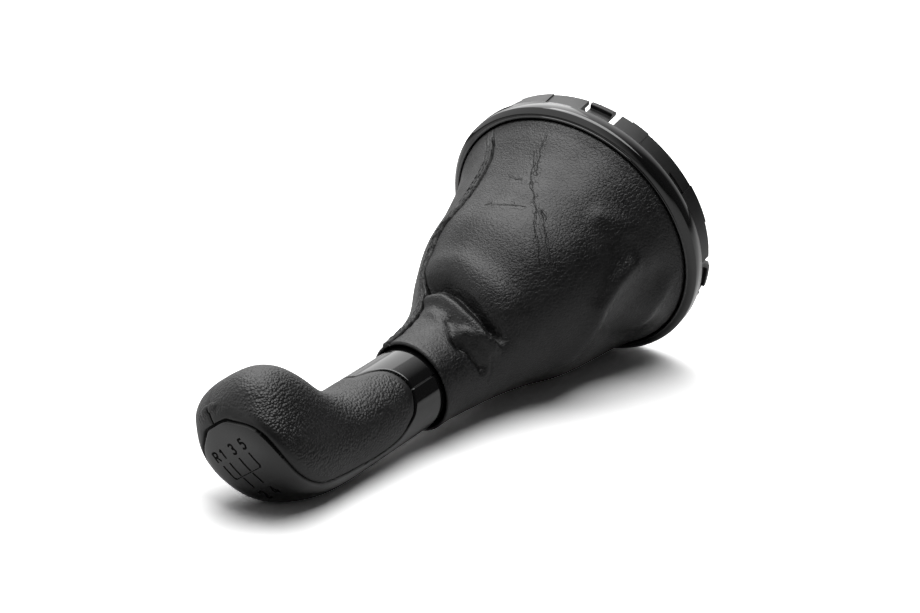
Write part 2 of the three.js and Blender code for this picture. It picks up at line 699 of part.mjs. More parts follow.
function leverBush() {
  const flange = -TAIL_LENGTH - FIT;
  return turned([
    [LEVER_R + LEVER_PLAY, flange - FLANGE],
    [TAIL_R, flange - FLANGE],
    [TAIL_R, flange],
    [BUSH_R, flange],
    [BUSH_R, SOCKET_DEPTH],
    [LEVER_R + LEVER_PLAY, SOCKET_DEPTH],
  ], SMALL_SEGMENTS);
}

function neckRing() {
  return turned([
    [neckRingInner, neckRingBottom],
    [hemOuter, neckRingBottom],
    [hemOuter, neckRingBottom + NECK_RING_FLANGE],
    [neckRingOuter, neckRingBottom + NECK_RING_FLANGE],
    [neckRingOuter, neckRingTop],
    [neckRingInner, neckRingTop],
  ], SMALL_SEGMENTS);
}

function gaiterTie() {
  const inner = hemOuter + FIT;
  const bottom = -HEM_DEPTH + TIE_HEAD_LAP + FIT;
  const top = bottom + TIE_WIDTH;
  const strap = solid(tube(inner, inner + TIE_THICK, bottom, top, SMALL_SEGMENTS));
  const head = spoke(TIE_HEAD_ANGLE - KNOB_TURN, inner + TIE_THICK / 2, inner + TIE_HEAD_RISE,
    TIE_HEAD, bottom - TIE_HEAD_LAP, top + TIE_HEAD_LAP);
  return geometryOf(strap.add(solid(head)));
}

function neckClip() {
  const inner = SPIGOT_R - CLIP_GROOVE + FIT;
  const outer = SPIGOT_R + CLIP_REACH;
  const ring = solid(tube(inner, outer, clipBottom, clipTop, SMALL_SEGMENTS));
  const opening = spoke(-90, 0, outer + CUT_PAST, CLIP_OPENING, clipBottom - CUT_PAST,
    clipTop + CUT_PAST);
  return geometryOf(ring.subtract(solid(opening)));
}

function leverClamp() {
  const inner = TAIL_R + FIT;
  const top = spigotEnd - SPIGOT_SPACE;
  const ring = solid(tube(inner, inner + CLAMP_THICK, top - CLAMP_WIDTH, top, SMALL_SEGMENTS));
  const ear = spoke(0, inner + CLAMP_THICK / 2, inner + CLAMP_THICK + CLAMP_EAR_RISE, CLAMP_EAR,
    top - CLAMP_WIDTH, top);
  return geometryOf(ring.add(solid(ear)));
}

// Materials
const finish = (color, roughness, metalness = 0) =>
  () => new THREE.MeshStandardMaterial({ color, roughness, metalness });
const glossBlack = finish(0x0c0c0d, 0.14);
const mattBlack = finish(0x161617, 0.6);
const softGrip = finish(0x1c1c1d, 0.62);
const blackLeather = finish(0x1a1a1b, 0.5);
const greyNylon = finish(0x3a3a3c, 0.55);
const whiteNylon = finish(0xd8d6cf, 0.5);
const springSteel = finish(0x9a9a9c, 0.35, 1);

function part(name, geometry, material) {
  const mesh = new THREE.Mesh(geometry, material());
  mesh.name = name;
  return mesh;
}

// Assembly: the ring end stands upright on the XY plane and the knob stands on the gaiter
const ringEnd = new THREE.Group();
ringEnd.add(
  part('bezel_ring', bezelRing(), glossBlack),
  part('carrier_ring', carrierRing(), mattBlack),
  part('hem_ring', hemRing(), mattBlack),
  part('leather_gaiter', leatherGaiter(), blackLeather),
);

const knob = new THREE.Group();
knob.position.copy(knobPlace);
knob.rotation.copy(knobTurn);
knob.add(
  part('neck_ring', neckRing(), mattBlack),
  part('gaiter_tie', gaiterTie(), whiteNylon),
  part('neck_clip', neckClip(), springSteel),
  part('knob_core', knobCore(), greyNylon),
  part('lever_bush', leverBush(), whiteNylon),
  part('lever_clamp', leverClamp(), springSteel),
  part('rear_shell', geometryOf(trim.subtract(collarFrontBlock(-FIT / 2))), glossBlack),
  part('front_collar_shell', geometryOf(trim.intersect(collarFrontBlock(FIT / 2))), glossBlack),
  part('grip_right', gripHalf(1), softGrip),
  part('grip_left', gripHalf(-1), softGrip),
);

const upright = new THREE.Group();
upright.add(ringEnd, knob);

// Lay it down on the bezel's front edge and the knob's head
function lowestOf(group, lean) {
  const turn = new THREE.Matrix4().makeRotationX(lean);
  const point = new THREE.Vector3();
  let least = Infinity;
  group.traverse((mesh) => {
    if (!mesh.isMesh) return;
    const position = mesh.geometry.attributes.position;
    for (let i = 0; i < position.count; i += 1) {
      point.fromBufferAttribute(position, i).applyMatrix4(mesh.matrixWorld).applyMatrix4(turn);
      least = Math.min(least, point.z);
    }
  });
  return least;
}

upright.updateMatrixWorld(true);
let steep = radians(80);
let shallow = radians(140);
for (let i = 0; i < 40; i += 1) {
  const lean = (steep + shallow) / 2;
  if (lowestOf(knob, lean) > lowestOf(ringEnd, lean)) steep = lean;
  else shallow = lean;
}
upright.rotation.x = steep;

// Origin at the middle of the footprint, on the table
const bounds = new THREE.Box3().setFromObject(upright, true);
const middle = bounds.getCenter(new THREE.Vector3());
upright.position.set(-middle.x, -middle.y, -bounds.min.z);

const model = new THREE.Group();
model.add(upright);

export default model;
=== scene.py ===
"""Gear lever gaiter with its bezel ring and knob, lying on its side on a white table."""

import json
import math

import bpy
import numpy as np
from mathutils import Matrix, Vector, noise
from mathutils.bvhtree import BVHTree


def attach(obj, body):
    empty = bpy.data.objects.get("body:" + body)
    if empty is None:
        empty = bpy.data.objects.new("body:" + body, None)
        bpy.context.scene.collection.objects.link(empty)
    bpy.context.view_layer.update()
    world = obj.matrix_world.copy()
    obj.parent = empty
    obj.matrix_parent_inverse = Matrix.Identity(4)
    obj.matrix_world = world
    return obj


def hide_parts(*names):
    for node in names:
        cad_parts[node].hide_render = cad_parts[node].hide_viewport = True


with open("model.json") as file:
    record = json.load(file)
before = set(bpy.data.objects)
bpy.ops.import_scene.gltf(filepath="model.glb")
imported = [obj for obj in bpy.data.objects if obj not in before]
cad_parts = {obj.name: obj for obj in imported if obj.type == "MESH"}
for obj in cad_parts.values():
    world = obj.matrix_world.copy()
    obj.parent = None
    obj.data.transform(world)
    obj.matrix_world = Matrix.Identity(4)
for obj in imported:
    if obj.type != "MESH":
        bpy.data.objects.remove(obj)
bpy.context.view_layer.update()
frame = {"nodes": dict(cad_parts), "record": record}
# Lengths are in millimetres until they go into the scene
MM = 0.001


# Helpers
def through(knots, values, x):
    """Smooth curve through values given at rising knots."""
    knots, values = np.array(knots, float), np.array(values, float)
    last = len(knots) - 1
    x = np.asarray(x, float)
    k = np.clip(np.searchsorted(knots, x, side="left") - 1, 0, last - 1)
    low, high = np.maximum(np.arange(last + 1) - 1, 0), np.minimum(np.arange(last + 1) + 1, last)
    slope = (values[high] - values[low]) / (knots[high] - knots[low])
    span = knots[k + 1] - knots[k]
    u = np.clip((x - knots[k]) / span, 0, 1)
    rise = (2 * u - 3) * u * u
    return (values[k] * (1 + rise) - values[k + 1] * rise + span * slope[k] * u * (1 - u) ** 2
            - span * slope[k + 1] * u * u * (1 - u))


def mix(a, b, t):
    """The value a share t of the way from a to b."""
    return a + (b - a) * t


def smooth(low, high, x):
    """Eased step from 0 at low to 1 at high."""
    t = np.clip((x - low) / (high - low), 0, 1)
    return t * t * (3 - 2 * t)


def hump(distance, half_width):
    """1 at no distance, falling softly to 0."""
    return np.exp(-(distance / half_width) ** 2)


def trough(distance, half_width):
    """1 along the middle of a groove with a flat floor, falling to 0 away from it."""
    return np.exp(-(distance / half_width) ** 4)


def rotation(x, y, z):
    """Rotation by angles in degrees about X, then Y, then Z of the turned frame."""
    a, b, c = np.radians([x, y, z])
    rx = np.array([[1, 0, 0], [0, math.cos(a), -math.sin(a)], [0, math.sin(a), math.cos(a)]])
    ry = np.array([[math.cos(b), 0, math.sin(b)], [0, 1, 0], [-math.sin(b), 0, math.cos(b)]])
    rz = np.array([[math.cos(c), -math.sin(c), 0], [math.sin(c), math.cos(c), 0], [0, 0, 1]])
    return rx @ ry @ rz


# The ring's place in the scene, from the record's seat on the bezel's underside
SEAT_AT = np.array([66.8, 0, -8.7])
seat = frame["record"]["mounts"][0]
ring_up = -np.array(seat["axis"], float)
ring_up /= np.linalg.norm(ring_up)
RING = np.column_stack([[1, 0, 0], np.cross(ring_up, [1, 0, 0]), ring_up])
RING_AT = np.array(seat["pos_m"]) / MM - RING @ SEAT_AT

# The knob's place in the ring's frame, in degrees and millimetres
KNOB_ANGLES = (-10.5, -2.2, 34.9)
KNOB_AT = np.array([0, 2.6, 131.1])
KNOB = rotation(*KNOB_ANGLES)


def from_ring(points):
    """Points of the ring's frame, in millimetres, as points of the scene."""
    return (np.asarray(points) @ RING.T + RING_AT) * MM


def from_knob(points):
    """Points of the knob's frame, in millimetres, as points of the scene."""
    return from_ring(np.asarray(points) @ KNOB.T + KNOB_AT)


def grid_faces(rows, columns, loop=False):
    """Quads of a grid of points, joined round each row and, for a loop, from last row to first."""
    i = np.arange(rows if loop else rows - 1)[:, None]
    j = np.arange(columns)[None, :]
    a, b = i * columns + j, i * columns + (j + 1) % columns
    down = (i + 1) % rows
    c, d = down * columns + (j + 1) % columns, down * columns + j
    return np.stack(np.broadcast_arrays(a, b, c, d), axis=-1).reshape(-1, 4).tolist()


def in_scene(name, data):
    """A new object of the scene."""
    thing = bpy.data.objects.new(name, data)
    bpy.context.scene.collection.objects.link(thing)
    return thing


def make(name, points, faces, material, sharp=None):
    """One smooth-shaded piece of the part, with edges sharper than an angle kept."""
    mesh = bpy.data.meshes.new(name)
    mesh.from_pydata(np.asarray(points, float).reshape(-1, 3).tolist(), [], faces)
    mesh.update()
    mesh.shade_smooth()
    if sharp is not None:
        mesh.set_sharp_from_angle(angle=math.radians(sharp))
    mesh.materials.append(material)
    piece = in_scene(name, mesh)
    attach(piece, "root")
    return piece


def store(piece, name, values):
    """Keeps one number per vertex for the material."""
    layer = piece.data.attributes.new(name, "FLOAT", "POINT")
    layer.data.foreach_set("value", np.asarray(values, np.float32).ravel())


# Materials: noise and cells are counted per metre, bumps are given in metres
class Tree:
    """A node tree with short calls for its nodes."""

    def __init__(self, tree):
        self.tree = tree

    def feed(self, socket, value):
        """Links another socket's output to a socket, or sets a plain value on it."""
        if isinstance(value, bpy.types.NodeSocket):
            self.tree.links.new(value, socket)
        else:
            socket.default_value = value

    def put(self, kind, inputs=None, **settings):
        node = self.tree.nodes.new(kind)
        for key, value in settings.items():
            setattr(node, key, value)
        for key, value in (inputs or {}).items():
            self.feed(node.inputs[key], value)
        return node

    def math(self, operation, a, b=0.0, c=0.0):
        return self.put("ShaderNodeMath", {0: a, 1: b, 2: c}, operation=operation).outputs[0]

    def ramp(self, value, low, high, start, end):
        node = self.put("ShaderNodeMapRange", {
            "Value": value, "From Min": low, "From Max": high, "To Min": start, "To Max": end})
        return node.outputs[0]


class Finish(Tree):
    """A material on its own Principled shader."""

    def __init__(self, name):
        self.material = bpy.data.materials.new(name)
        self.material.use_nodes = True
        super().__init__(self.material.node_tree)
        self.shader = self.tree.nodes["Principled BSDF"]

    def attribute(self, name):
        return self.put("ShaderNodeAttribute", attribute_name=name).outputs["Fac"]

    def where(self, stretch=(1, 1, 1)):
        at = self.put("ShaderNodeTexCoord").outputs["Object"]
        return self.put("ShaderNodeMapping", {"Vector": at, "Scale": stretch}).outputs[0]

    def noise(self, scale, detail=3.0, rough=0.5, at=None):
        node = self.put("ShaderNodeTexNoise", {
            "Vector": at or self.where(), "Scale": scale, "Detail": detail, "Roughness": rough})
        return node.outputs["Fac"]

    def cells(self, scale, at=None, feature="F1"):
        node = self.put("ShaderNodeTexVoronoi", {"Vector": at or self.where(), "Scale": scale},
                        feature=feature)
        return node.outputs["Distance"]

    def blend(self, share, one, other):
        """The colour a share of the way from one to the other."""
        node = self.put("ShaderNodeMix", {0: share}, data_type="RGBA")
        self.feed(node.inputs[6], one)
        self.feed(node.inputs[7], other)
        return node.outputs[2]

    def bump(self, height, distance, strength=1.0, under=None):
        node = self.put("ShaderNodeBump", {
            "Height": height, "Distance": distance, "Strength": strength})
        if under is not None:
            self.feed(node.inputs["Normal"], under)
        return node.outputs[0]

    def surface(self, **sockets):
        """Feeds the shader's sockets, named with underscores, and gives the material."""
        for key, value in sockets.items():
            self.feed(self.shader.inputs[key.replace("_", " ")], value)
        return self.material


def grey(level, tint=0.0):
    """A grey of linear light, its blue raised or lowered by a share."""
    return (level, level, level * (1 + tint), 1)


# Specular level along the bottom of a groove, lowered there as painted shade
SHADED_GROOVE_SHINE = 0.02


def gloss_black():
    n = Finish("gloss_black")
    haze = n.noise(60, 4, 0.6)
    streak = n.noise(9, 2, 0.5)
    dents = n.bump(n.noise(140, 2, 0.4), 0.03 * MM)
    # Painted shade along the grooves: a lower specular level and no coat there
    groove = n.attribute("groove")
    return n.surface(
        Base_Color=n.blend(streak, grey(0.002, 0.05), grey(0.0035, 0.05)),
        Specular_IOR_Level=n.ramp(groove, 0, 1, 0.5, SHADED_GROOVE_SHINE),
        Roughness=n.ramp(haze, 0.3, 0.8, 0.06, 0.12),
        IOR=1.52,
        Normal=dents,
        Coat_Weight=n.ramp(groove, 0, 1, 0.4, 0),
        Coat_Roughness=0.06)


def soft_grip():
    n = Finish("soft_grip")
    pebbles_per_metre = 900
    grain = n.attribute("grain")
    pebbles = n.cells(pebbles_per_metre)
    edges = n.cells(pebbles_per_metre, feature="DISTANCE_TO_EDGE")
    domes = n.math("MULTIPLY", n.math("SUBTRACT", 0.75, pebbles), grain)
    # Painted shade in the lows between the pebbles, drawn towards black
    shaded_lows = n.math("MULTIPLY", n.ramp(edges, 0, 0.12, 1, 0), grain)
    body = n.bump(domes, 0.32 * MM)
    fine = n.bump(n.noise(5200, 2, 0.6), 0.03 * MM, 0.6, body)
    worn = n.noise(35, 3, 0.5)
    base = n.blend(worn, grey(0.004, 0.04), grey(0.0065, 0.04))
    # Painted shade along the grooves comes from a lower specular level
    return n.surface(
        Base_Color=n.blend(n.math("MULTIPLY", shaded_lows, 0.6), base, grey(0.001)),
        Roughness=n.ramp(worn, 0.3, 0.7, 0.34, 0.44),
        IOR=1.5,
        Normal=fine,
        Specular_IOR_Level=n.ramp(n.attribute("groove"), 0, 1, 0.5, SHADED_GROOVE_SHINE))


def leather_grain(n, bent, uneven, broad):
    """Normal of the grain: low domes with fine valleys between them, uneven in depth."""
    domes = n.math("SUBTRACT", 0.8, n.cells(1000, bent))
    valleys = n.ramp(n.cells(520, bent, "DISTANCE_TO_EDGE"), 0, 0.09, 0, 1)
    body = n.bump(domes, 0.17 * MM, n.ramp(uneven, 0.3, 0.7, 0.55, 1.0))
    return n.bump(valleys, 0.12 * MM, n.ramp(broad, 0.35, 0.65, 0.3, 0.8), body)


def stretch_cracks(n, at, bent):
    """Depth of the cracks in the stretch marks, also their painted shade: two wandering lines in a
    net of finer ones.
    """
    mark = n.attribute("mark")
    wander = n.math("MULTIPLY_ADD", n.noise(420, 3, 0.6, at), 1.5, -0.75)
    aside = n.math("ABSOLUTE", n.math("ADD", n.attribute("across"), wander))
    apart = n.ramp(n.noise(130, 2, 0.5, at), 0.35, 0.65, 0.1, 0.6)
    twin = n.math("ABSOLUTE", n.math("SUBTRACT", aside, apart))
    lines = n.math("MULTIPLY", n.ramp(twin, 0.05, 0.2, 1, 0), n.ramp(mark, 1.1, 1.9, 1, 0))
    net = n.ramp(n.cells(420, bent, "DISTANCE_TO_EDGE"), 0.01, 0.05, 1, 0)
    net = n.math("MULTIPLY", net, n.ramp(n.noise(240, 2, 0.6, at), 0.5, 0.56, 0, 0.7))
    return n.math("MAXIMUM", lines, n.math("MULTIPLY", net, n.ramp(mark, 1.2, 3.4, 1, 0)))


def leather():
    n = Finish("black_leather")
    inner = n.attribute("inner")
    at = n.where()
    uneven = n.noise(90, 4, 0.6, at)
    broad = n.noise(14, 4, 0.55, at)
    swirl = n.put("ShaderNodeTexNoise", {"Vector": at, "Scale": 300.0, "Detail": 2.0}).outputs[1]
    bent = n.put("ShaderNodeVectorMath", {0: swirl, 1: (1.2 * MM, 1.2 * MM, 1.2 * MM), 2: at},
                 operation="MULTIPLY_ADD").outputs[0]
    body = leather_grain(n, bent, uneven, broad)
    cracks = stretch_cracks(n, at, bent)
    body = n.bump(n.math("MULTIPLY", cracks, -1), 0.2 * MM, 0.8, body)
    # Painted shade in the cracks and along the seam's sunk edges darkens the colour and dims the
    # reflection
    painted_shade = n.math("MAXIMUM", n.math("MULTIPLY", cracks, 0.5), n.attribute("seam"))
    tone = n.blend(n.ramp(broad, 0.3, 0.7, 0, 1), grey(0.0025, 0.06), grey(0.0045, 0.06))
    tone = n.blend(painted_shade, tone, grey(0.0008))
    tone = n.blend(inner, tone, grey(0.05, -0.1))
    rough = n.math("ADD", n.ramp(uneven, 0.3, 0.7, 0.33, 0.45), n.math("MULTIPLY", inner, 0.35))
    return n.surface(
        Base_Color=tone,
        Roughness=rough,
        IOR=1.5,
        Normal=body,
        Specular_IOR_Level=n.ramp(painted_shade, 0, 1, 0.44, 0.03))


def moulded(name, level, tint, rough, grain=0.03):
    """Plain plastic or thread of one grey, with a fine grain in millimetres."""
    n = Finish(name)
    broad = n.noise(50, 3, 0.5)
    return n.surface(
        Base_Color=n.blend(broad, grey(level * 0.88, tint), grey(level * 1.12, tint)),
        Roughness=n.ramp(broad, 0.3, 0.7, rough - 0.06, rough + 0.06),
        IOR=1.5,
        Normal=n.bump(n.noise(2400, 3, 0.6), grain * MM))


def spring_steel():
    n = Finish("spring_steel")
    brushed = n.noise(900, 3, 0.6, n.where((1, 0.05, 1)))
    return n.surface(
        Base_Color=n.blend(brushed, grey(0.42, 0.02), grey(0.6, 0.02)),
        Metallic=1.0,
        Roughness=n.ramp(brushed, 0.3, 0.7, 0.26, 0.42),
        Normal=n.bump(brushed, 0.01 * MM))


def engraved():
    n = Finish("engraved_lines")
    return n.surface(
        Base_Color=n.blend(n.noise(300), grey(0.001), grey(0.002)),
        Roughness=0.7,
        Specular_IOR_Level=0.05)


GLOSS = gloss_black()
GRIP = soft_grip()
LEATHER = leather()
MATT = moulded("matt_black", 0.007, 0.02, 0.4)
CORE = moulded("grey_nylon", 0.14, 0.0, 0.55)
NYLON = moulded("white_nylon", 0.72, -0.05, 0.5)
STEEL = spring_steel()
THREAD = moulded("black_thread", 0.003, 0.0, 0.6, grain=0.06)
INK = engraved()


# Rings turned about the ring's axis
def chamfered(outline, size):
    """The outline with each corner cut back by a small flat."""
    outline = np.array(outline, float)
    found = []
    for before, corner, after in zip(np.roll(outline, 1, 0), outline, np.roll(outline, -1, 0)):
        for other in (before, after):
            away = other - corner
            found.append(corner + away * min(size / np.linalg.norm(away), 0.4))
    return np.array(found)


def swept(outline, start, end, steps):
    """Points and faces of an outline of (radius, height) swept between two angles."""
    whole = abs(end - start) >= 360
    angles = np.radians(np.linspace(start, end, steps, endpoint=not whole))
    outline = np.array(outline, float)
    points = np.stack([
        outline[None, :, 0] * np.cos(angles)[:, None],
        outline[None, :, 0] * np.sin(angles)[:, None],
        np.broadcast_to(outline[None, :, 1], (len(angles), len(outline)))], axis=-1)
    faces = grid_faces(len(angles), len(outline), loop=whole)
    if not whole:
        count = len(outline)
        last = (len(angles) - 1) * count
        faces.append(list(range(count)))
        faces.append(list(range(last + count - 1, last - 1, -1)))
    return points.reshape(-1, 3), faces


def gathered(shapes):
    """Several (points, faces) shapes as one."""
    points, faces, count = [], [], 0
    for shape_points, shape_faces in shapes:
        points.append(shape_points)
        faces += [[v + count for v in face] for face in shape_faces]
        count += len(shape_points)
    return np.concatenate(points), faces


# Bezel ring: plain wall, sloping face and a bead at the mouth, as (radius, height) outlines
BEZEL_R, BEZEL_IN, BEZEL_DEPTH = 68, 65.8, 8.7
MOUTH_R, MOUTH_DEPTH = 63.5, 3
SHOULDER, CROWN = 2.9, 0.45
BEAD, BEAD_RISE = 1.2, 0.5
EDGE_CUT = 0.3
share = np.linspace(0.05, 1, 12)
sloping_face = np.column_stack([
    mix(BEZEL_R, MOUTH_R + BEAD, share),
    mix(-SHOULDER, -BEAD_RISE, share) + CROWN * np.sin(np.pi * share)]).tolist()
bead = [(MOUTH_R + BEAD / 2 * (1 + math.cos(t)), BEAD_RISE * (math.sin(t) - 1))
        for t in np.radians(np.linspace(20, 180, 9))]
outer_wall = [(BEZEL_R - EDGE_CUT, -BEZEL_DEPTH), (BEZEL_R, -BEZEL_DEPTH + EDGE_CUT),
              (BEZEL_R, -SHOULDER - 0.2), (BEZEL_R - 0.05, -SHOULDER - 0.02)]
inner_wall = [(MOUTH_R, 0.1 - MOUTH_DEPTH), (MOUTH_R + 0.1, -MOUTH_DEPTH),
              (BEZEL_IN, -MOUTH_DEPTH), (BEZEL_IN, -BEZEL_DEPTH)]
points, faces = swept(outer_wall + sloping_face + bead + inner_wall, 0, 360, 288)
bezel = make("bezel_trim", from_ring(points), faces, GLOSS, sharp=50)
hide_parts("bezel_ring")

# Carrier ring in sectors: slots with their snap tongues, plain wall, recess and raised pads
WALL_OUT, WALL_IN, WALL_TOP, WALL_END = 65.45, 63.25, -3.35, -20
LEDGE_IN, LEDGE_TOP, LEDGE_FOOT = 60.25, -14.8, -16.4
RECESS_R, RECESS_TOP, RECESS_FOOT = 64.35, -9.2, -13.2
TONGUE_IN, TONGUE_OUT, TONGUE_ROOT = 63.45, 65.25, -8.5
BARB_R, BARB_TOP, BARB_FOOT = 67.65, -15, -17
PAD_IN, PAD_OUT, PAD_TOP = 64.65, 65.95, -9.05
# Angles in degrees from the first tongue, the same in each quarter
FIRST_TONGUE, TONGUE_HALF, SLOT_HALF, SLOT_TOP = 73, 4.99, 7.97, -10
RECESS, PADS = (-38, -48), ((-13, -21), (-48, -65))
wall_top = [(WALL_OUT, WALL_TOP), (WALL_IN, WALL_TOP)]
wall_inside = [(WALL_IN, LEDGE_TOP), (LEDGE_IN, LEDGE_TOP), (LEDGE_IN, LEDGE_FOOT),
               (WALL_IN, LEDGE_FOOT), (WALL_IN, WALL_END)]
wall = [(WALL_OUT, WALL_END)] + wall_top + wall_inside
recess = [(WALL_OUT, RECESS_FOOT), (RECESS_R, RECESS_FOOT), (RECESS_R, RECESS_TOP),
          (WALL_OUT, RECESS_TOP)]
recessed = [(WALL_OUT, WALL_END)] + recess + wall_top + wall_inside
over_slot = [(WALL_OUT, SLOT_TOP)] + wall_top + [(WALL_IN, SLOT_TOP)]
tongue = [(TONGUE_IN, TONGUE_ROOT), (TONGUE_IN, WALL_END), (WALL_OUT, WALL_END),
          (BARB_R, BARB_FOOT), (BARB_R, BARB_TOP), (TONGUE_OUT, BARB_TOP),
          (TONGUE_OUT, TONGUE_ROOT)]
pad = [(PAD_IN, WALL_END), (PAD_OUT, WALL_END), (PAD_OUT, PAD_TOP), (PAD_IN, PAD_TOP)]
sectors = []
for k in range(4):
    middle = FIRST_TONGUE - 90 * k
    edges = [middle + SLOT_HALF, middle - SLOT_HALF, middle + RECESS[0], middle + RECESS[1],
             middle - 90 + SLOT_HALF]
    for outline, (a, b) in zip((over_slot, wall, recessed, wall), zip(edges, edges[1:])):
        sectors.append(swept(chamfered(outline, 0.25), b, a, 2 + int(a - b)))
    sectors.append(swept(chamfered(tongue, 0.25), middle - TONGUE_HALF, middle + TONGUE_HALF, 9))
    for start, end in PADS:
        sectors.append(swept(chamfered(pad, 0.15), middle + end, middle + start, 2 + start - end))
points, faces = gathered(sectors)
carrier = make("carrier_moulding", from_ring(points), faces, MATT, sharp=35)
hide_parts("carrier_ring")

# Hem ring that clamps the leather's foot in the carrier
HEM_RING_IN, HEM_RING_OUT, HEM_RING_FOOT, HEM_RING_TOP = 59.25, 61.45, -14.45, -4.45
hem_outline = [(HEM_RING_IN, HEM_RING_FOOT), (HEM_RING_OUT, HEM_RING_FOOT),
               (HEM_RING_OUT, HEM_RING_TOP), (HEM_RING_IN, HEM_RING_TOP)]
points, faces = swept(chamfered(hem_outline, 0.3), 0, 360, 240)
hem_ring = make("hem_clamp_ring", from_ring(points), faces, MATT, sharp=35)
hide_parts("hem_ring")

# Leather gaiter: a tube along a bent middle line, with its radius, folds and creases laid on
LENGTH, FOOT_R, RIM_R, THICK = 131.1, 62.9, 21.2, 1.1
# How far the middle line runs straight on from each end, as shares of the length
FOOT_RUN, RIM_RUN = 0.42, 0.34
COLUMNS, ROWS, INNER_ROWS = ((300, 240, 40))
# Share of the way from rim to foot radius on the upper and the lower side, and the seam's angles
UPPER_ANGLE = 135
SIDE_AT = [0, 0.03, 0.12, 0.25, 0.4, 0.55, 0.7, 0.82, 0.92, 1]
UPPER_SIDE = [1, 0.935, 0.79, 0.667, 0.585, 0.405, 0.185, 0.082, 0.034, 0]
LOWER_SIDE = [1, 0.943, 0.835, 0.703, 0.542, 0.317, 0.153, 0.058, 0.01, 0]
SEAM_AT = [0, 0.1, 0.2, 0.34, 0.45, 0.6, 0.68, 0.76, 0.94, 1]
SEAM_ANGLE = [122, 115, 115, 118, 126, 127, 122, 114, 113, 119]
# Share of the length over which the folds fade out at the foot and at the rim
FOLDS_FADE, WRINKLES_FADE = (0.08, 0.1), (0.08, 0.05)
# Folds: path of (angle, share of the length), height and width in millimetres
FOLDS = [
    ([(118, 0.675), (98, 0.665), (70, 0.7), (48, 0.71), (28, 0.715)], -4.4, 3.2),
    ([(122, 0.6), (95, 0.59), (68, 0.62), (44, 0.63)], 2, 8),
    ([(112, 0.745), (96, 0.735), (64, 0.765), (40, 0.765), (26, 0.745)], 2.3, 3.4),
    ([(46, 0.86), (30, 0.84), (12, 0.825)], -2.2, 2.6),
    ([(52, 0.81), (38, 0.785), (24, 0.765)], 1.5, 3),
    ([(12, 0.18), (9, 0.26), (2, 0.34), (-10, 0.4), (-24, 0.48)], 2.8, 4.6),
    ([(-2, 0.08), (-8, 0.2), (-20, 0.3)], -2, 7),
    ([(-8, 0.04), (-17, 0.1), (-29, 0.15)], 2.2, 5),
    ([(-30, 0.24), (-42, 0.12)], -3.4, 9),
    ([(42, 0.17), (28, 0.12)], 1, 4),
    ([(-95, 0.14), (-100, 0.3), (-112, 0.5)], 2.6, 6),
    ([(-128, 0.1), (-134, 0.26), (-130, 0.42)], -2.6, 7),
    ([(-160, 0.2), (-172, 0.38), (-166, 0.56)], 2.4, 6),
    ([(-70, 0.72), (-110, 0.69), (-150, 0.71)], -2.4, 4),
    ([(-80, 0.79), (-115, 0.77), (-150, 0.785)], 1.6, 4),
]
# Narrow wrinkles and creases beside the folds, in the same form
WRINKLES = [
    ([(119, 0.668), (104, 0.66), (88, 0.674), (70, 0.693), (52, 0.705), (36, 0.712)], -1.3, 1.0),
    ([(112, 0.652), (94, 0.654), (76, 0.672), (60, 0.69)], -0.5, 0.8),
    ([(108, 0.69), (92, 0.69), (72, 0.715), (50, 0.728), (34, 0.726)], 0.5, 0.9),
    ([(86, 0.66), (66, 0.678), (46, 0.695), (34, 0.7)], 0.45, 0.8),
    ([(50, 0.728), (42, 0.745), (36, 0.757)], -0.5, 1.2),
    ([(42, 0.852), (30, 0.842), (16, 0.828)], -0.8, 0.8),
    ([(38, 0.868), (26, 0.86), (14, 0.85)], 0.4, 0.9),
    ([(16, 0.775), (4, 0.79), (-6, 0.806)], -0.5, 0.9),
    ([(22, 0.89), (8, 0.88), (-8, 0.866)], -0.35, 0.8),
    ([(100, 0.8), (80, 0.83), (60, 0.85)], 0.5, 3),
    ([(72, 0.815), (64, 0.843), (54, 0.857), (44, 0.845)], -1.7, 2.8),
    ([(118, 0.655), (106, 0.653), (97, 0.662)], -1.4, 1.9),
]
# Stretch marks, where the leather is drawn tight; the distance to them is kept up to a reach
MARK_REACH = 6.0
MARKS = [
    [(89, 0.1), (85.5, 0.15), (79, 0.214), (69.5, 0.286), (62.3, 0.352), (55.3, 0.399), (49, 0.435)],
    [(88, 0.045), (86, 0.09), (84.5, 0.13), (82, 0.16)],
    [(66, 0.28), (57, 0.345), (50, 0.38), (43, 0.42)],
    [(97, 0.322), (86, 0.31), (77, 0.292)],
    [(94.5, 0.19), (91, 0.197), (88, 0.196)],
]


def plain_radius(angle, along):
    """Radius of the leather without its folds."""
    lean = 0.5 + 0.5 * np.cos(np.radians(angle - UPPER_ANGLE))
    share = mix(through(SIDE_AT, LOWER_SIDE, along), through(SIDE_AT, UPPER_SIDE, along), lean)
    return mix(RIM_R, FOOT_R, share)


def beside(step, angle, along, radius):
    """Distance to a straight step on the unrolled leather, and how far aside, with its sign."""
    (a0, s0), (a1, s1) = step
    x0 = np.radians((a0 - angle + 540) % 360 - 180) * radius
    y0 = (s0 - along) * LENGTH
    dx = np.radians(a1 - a0) * radius
    dy = (s1 - s0) * LENGTH
    length = np.sqrt(dx * dx + dy * dy + 1e-9)
    reach = np.clip(-(x0 * dx + y0 * dy) / length ** 2, 0, 1)
    return np.hypot(x0 + dx * reach, y0 + dy * reach), (x0 * dy - y0 * dx) / length


def away_from(path, angle, along, radius):
    """Distance to a path of several steps on the unrolled leather."""
    return np.min([beside(step, angle, along, radius)[0] for step in zip(path, path[1:])], axis=0)


def fold_height(folds, angle, along, radius, fades):
    """Height of all folds of a table, faded out at the foot and at the rim."""
    foot_fade, rim_fade = fades
    total = np.zeros(np.broadcast(angle, along).shape)
    for path, height, width in folds:
        total += height * hump(away_from(path, angle, along, radius), width)
    return total * np.clip(np.minimum(along / foot_fade, (1 - along) / rim_fade), 0, 1)


foot_handle = np.array([0, 0, LENGTH * FOOT_RUN])
rim_handle = KNOB_AT - KNOB[:, 2] * LENGTH * RIM_RUN


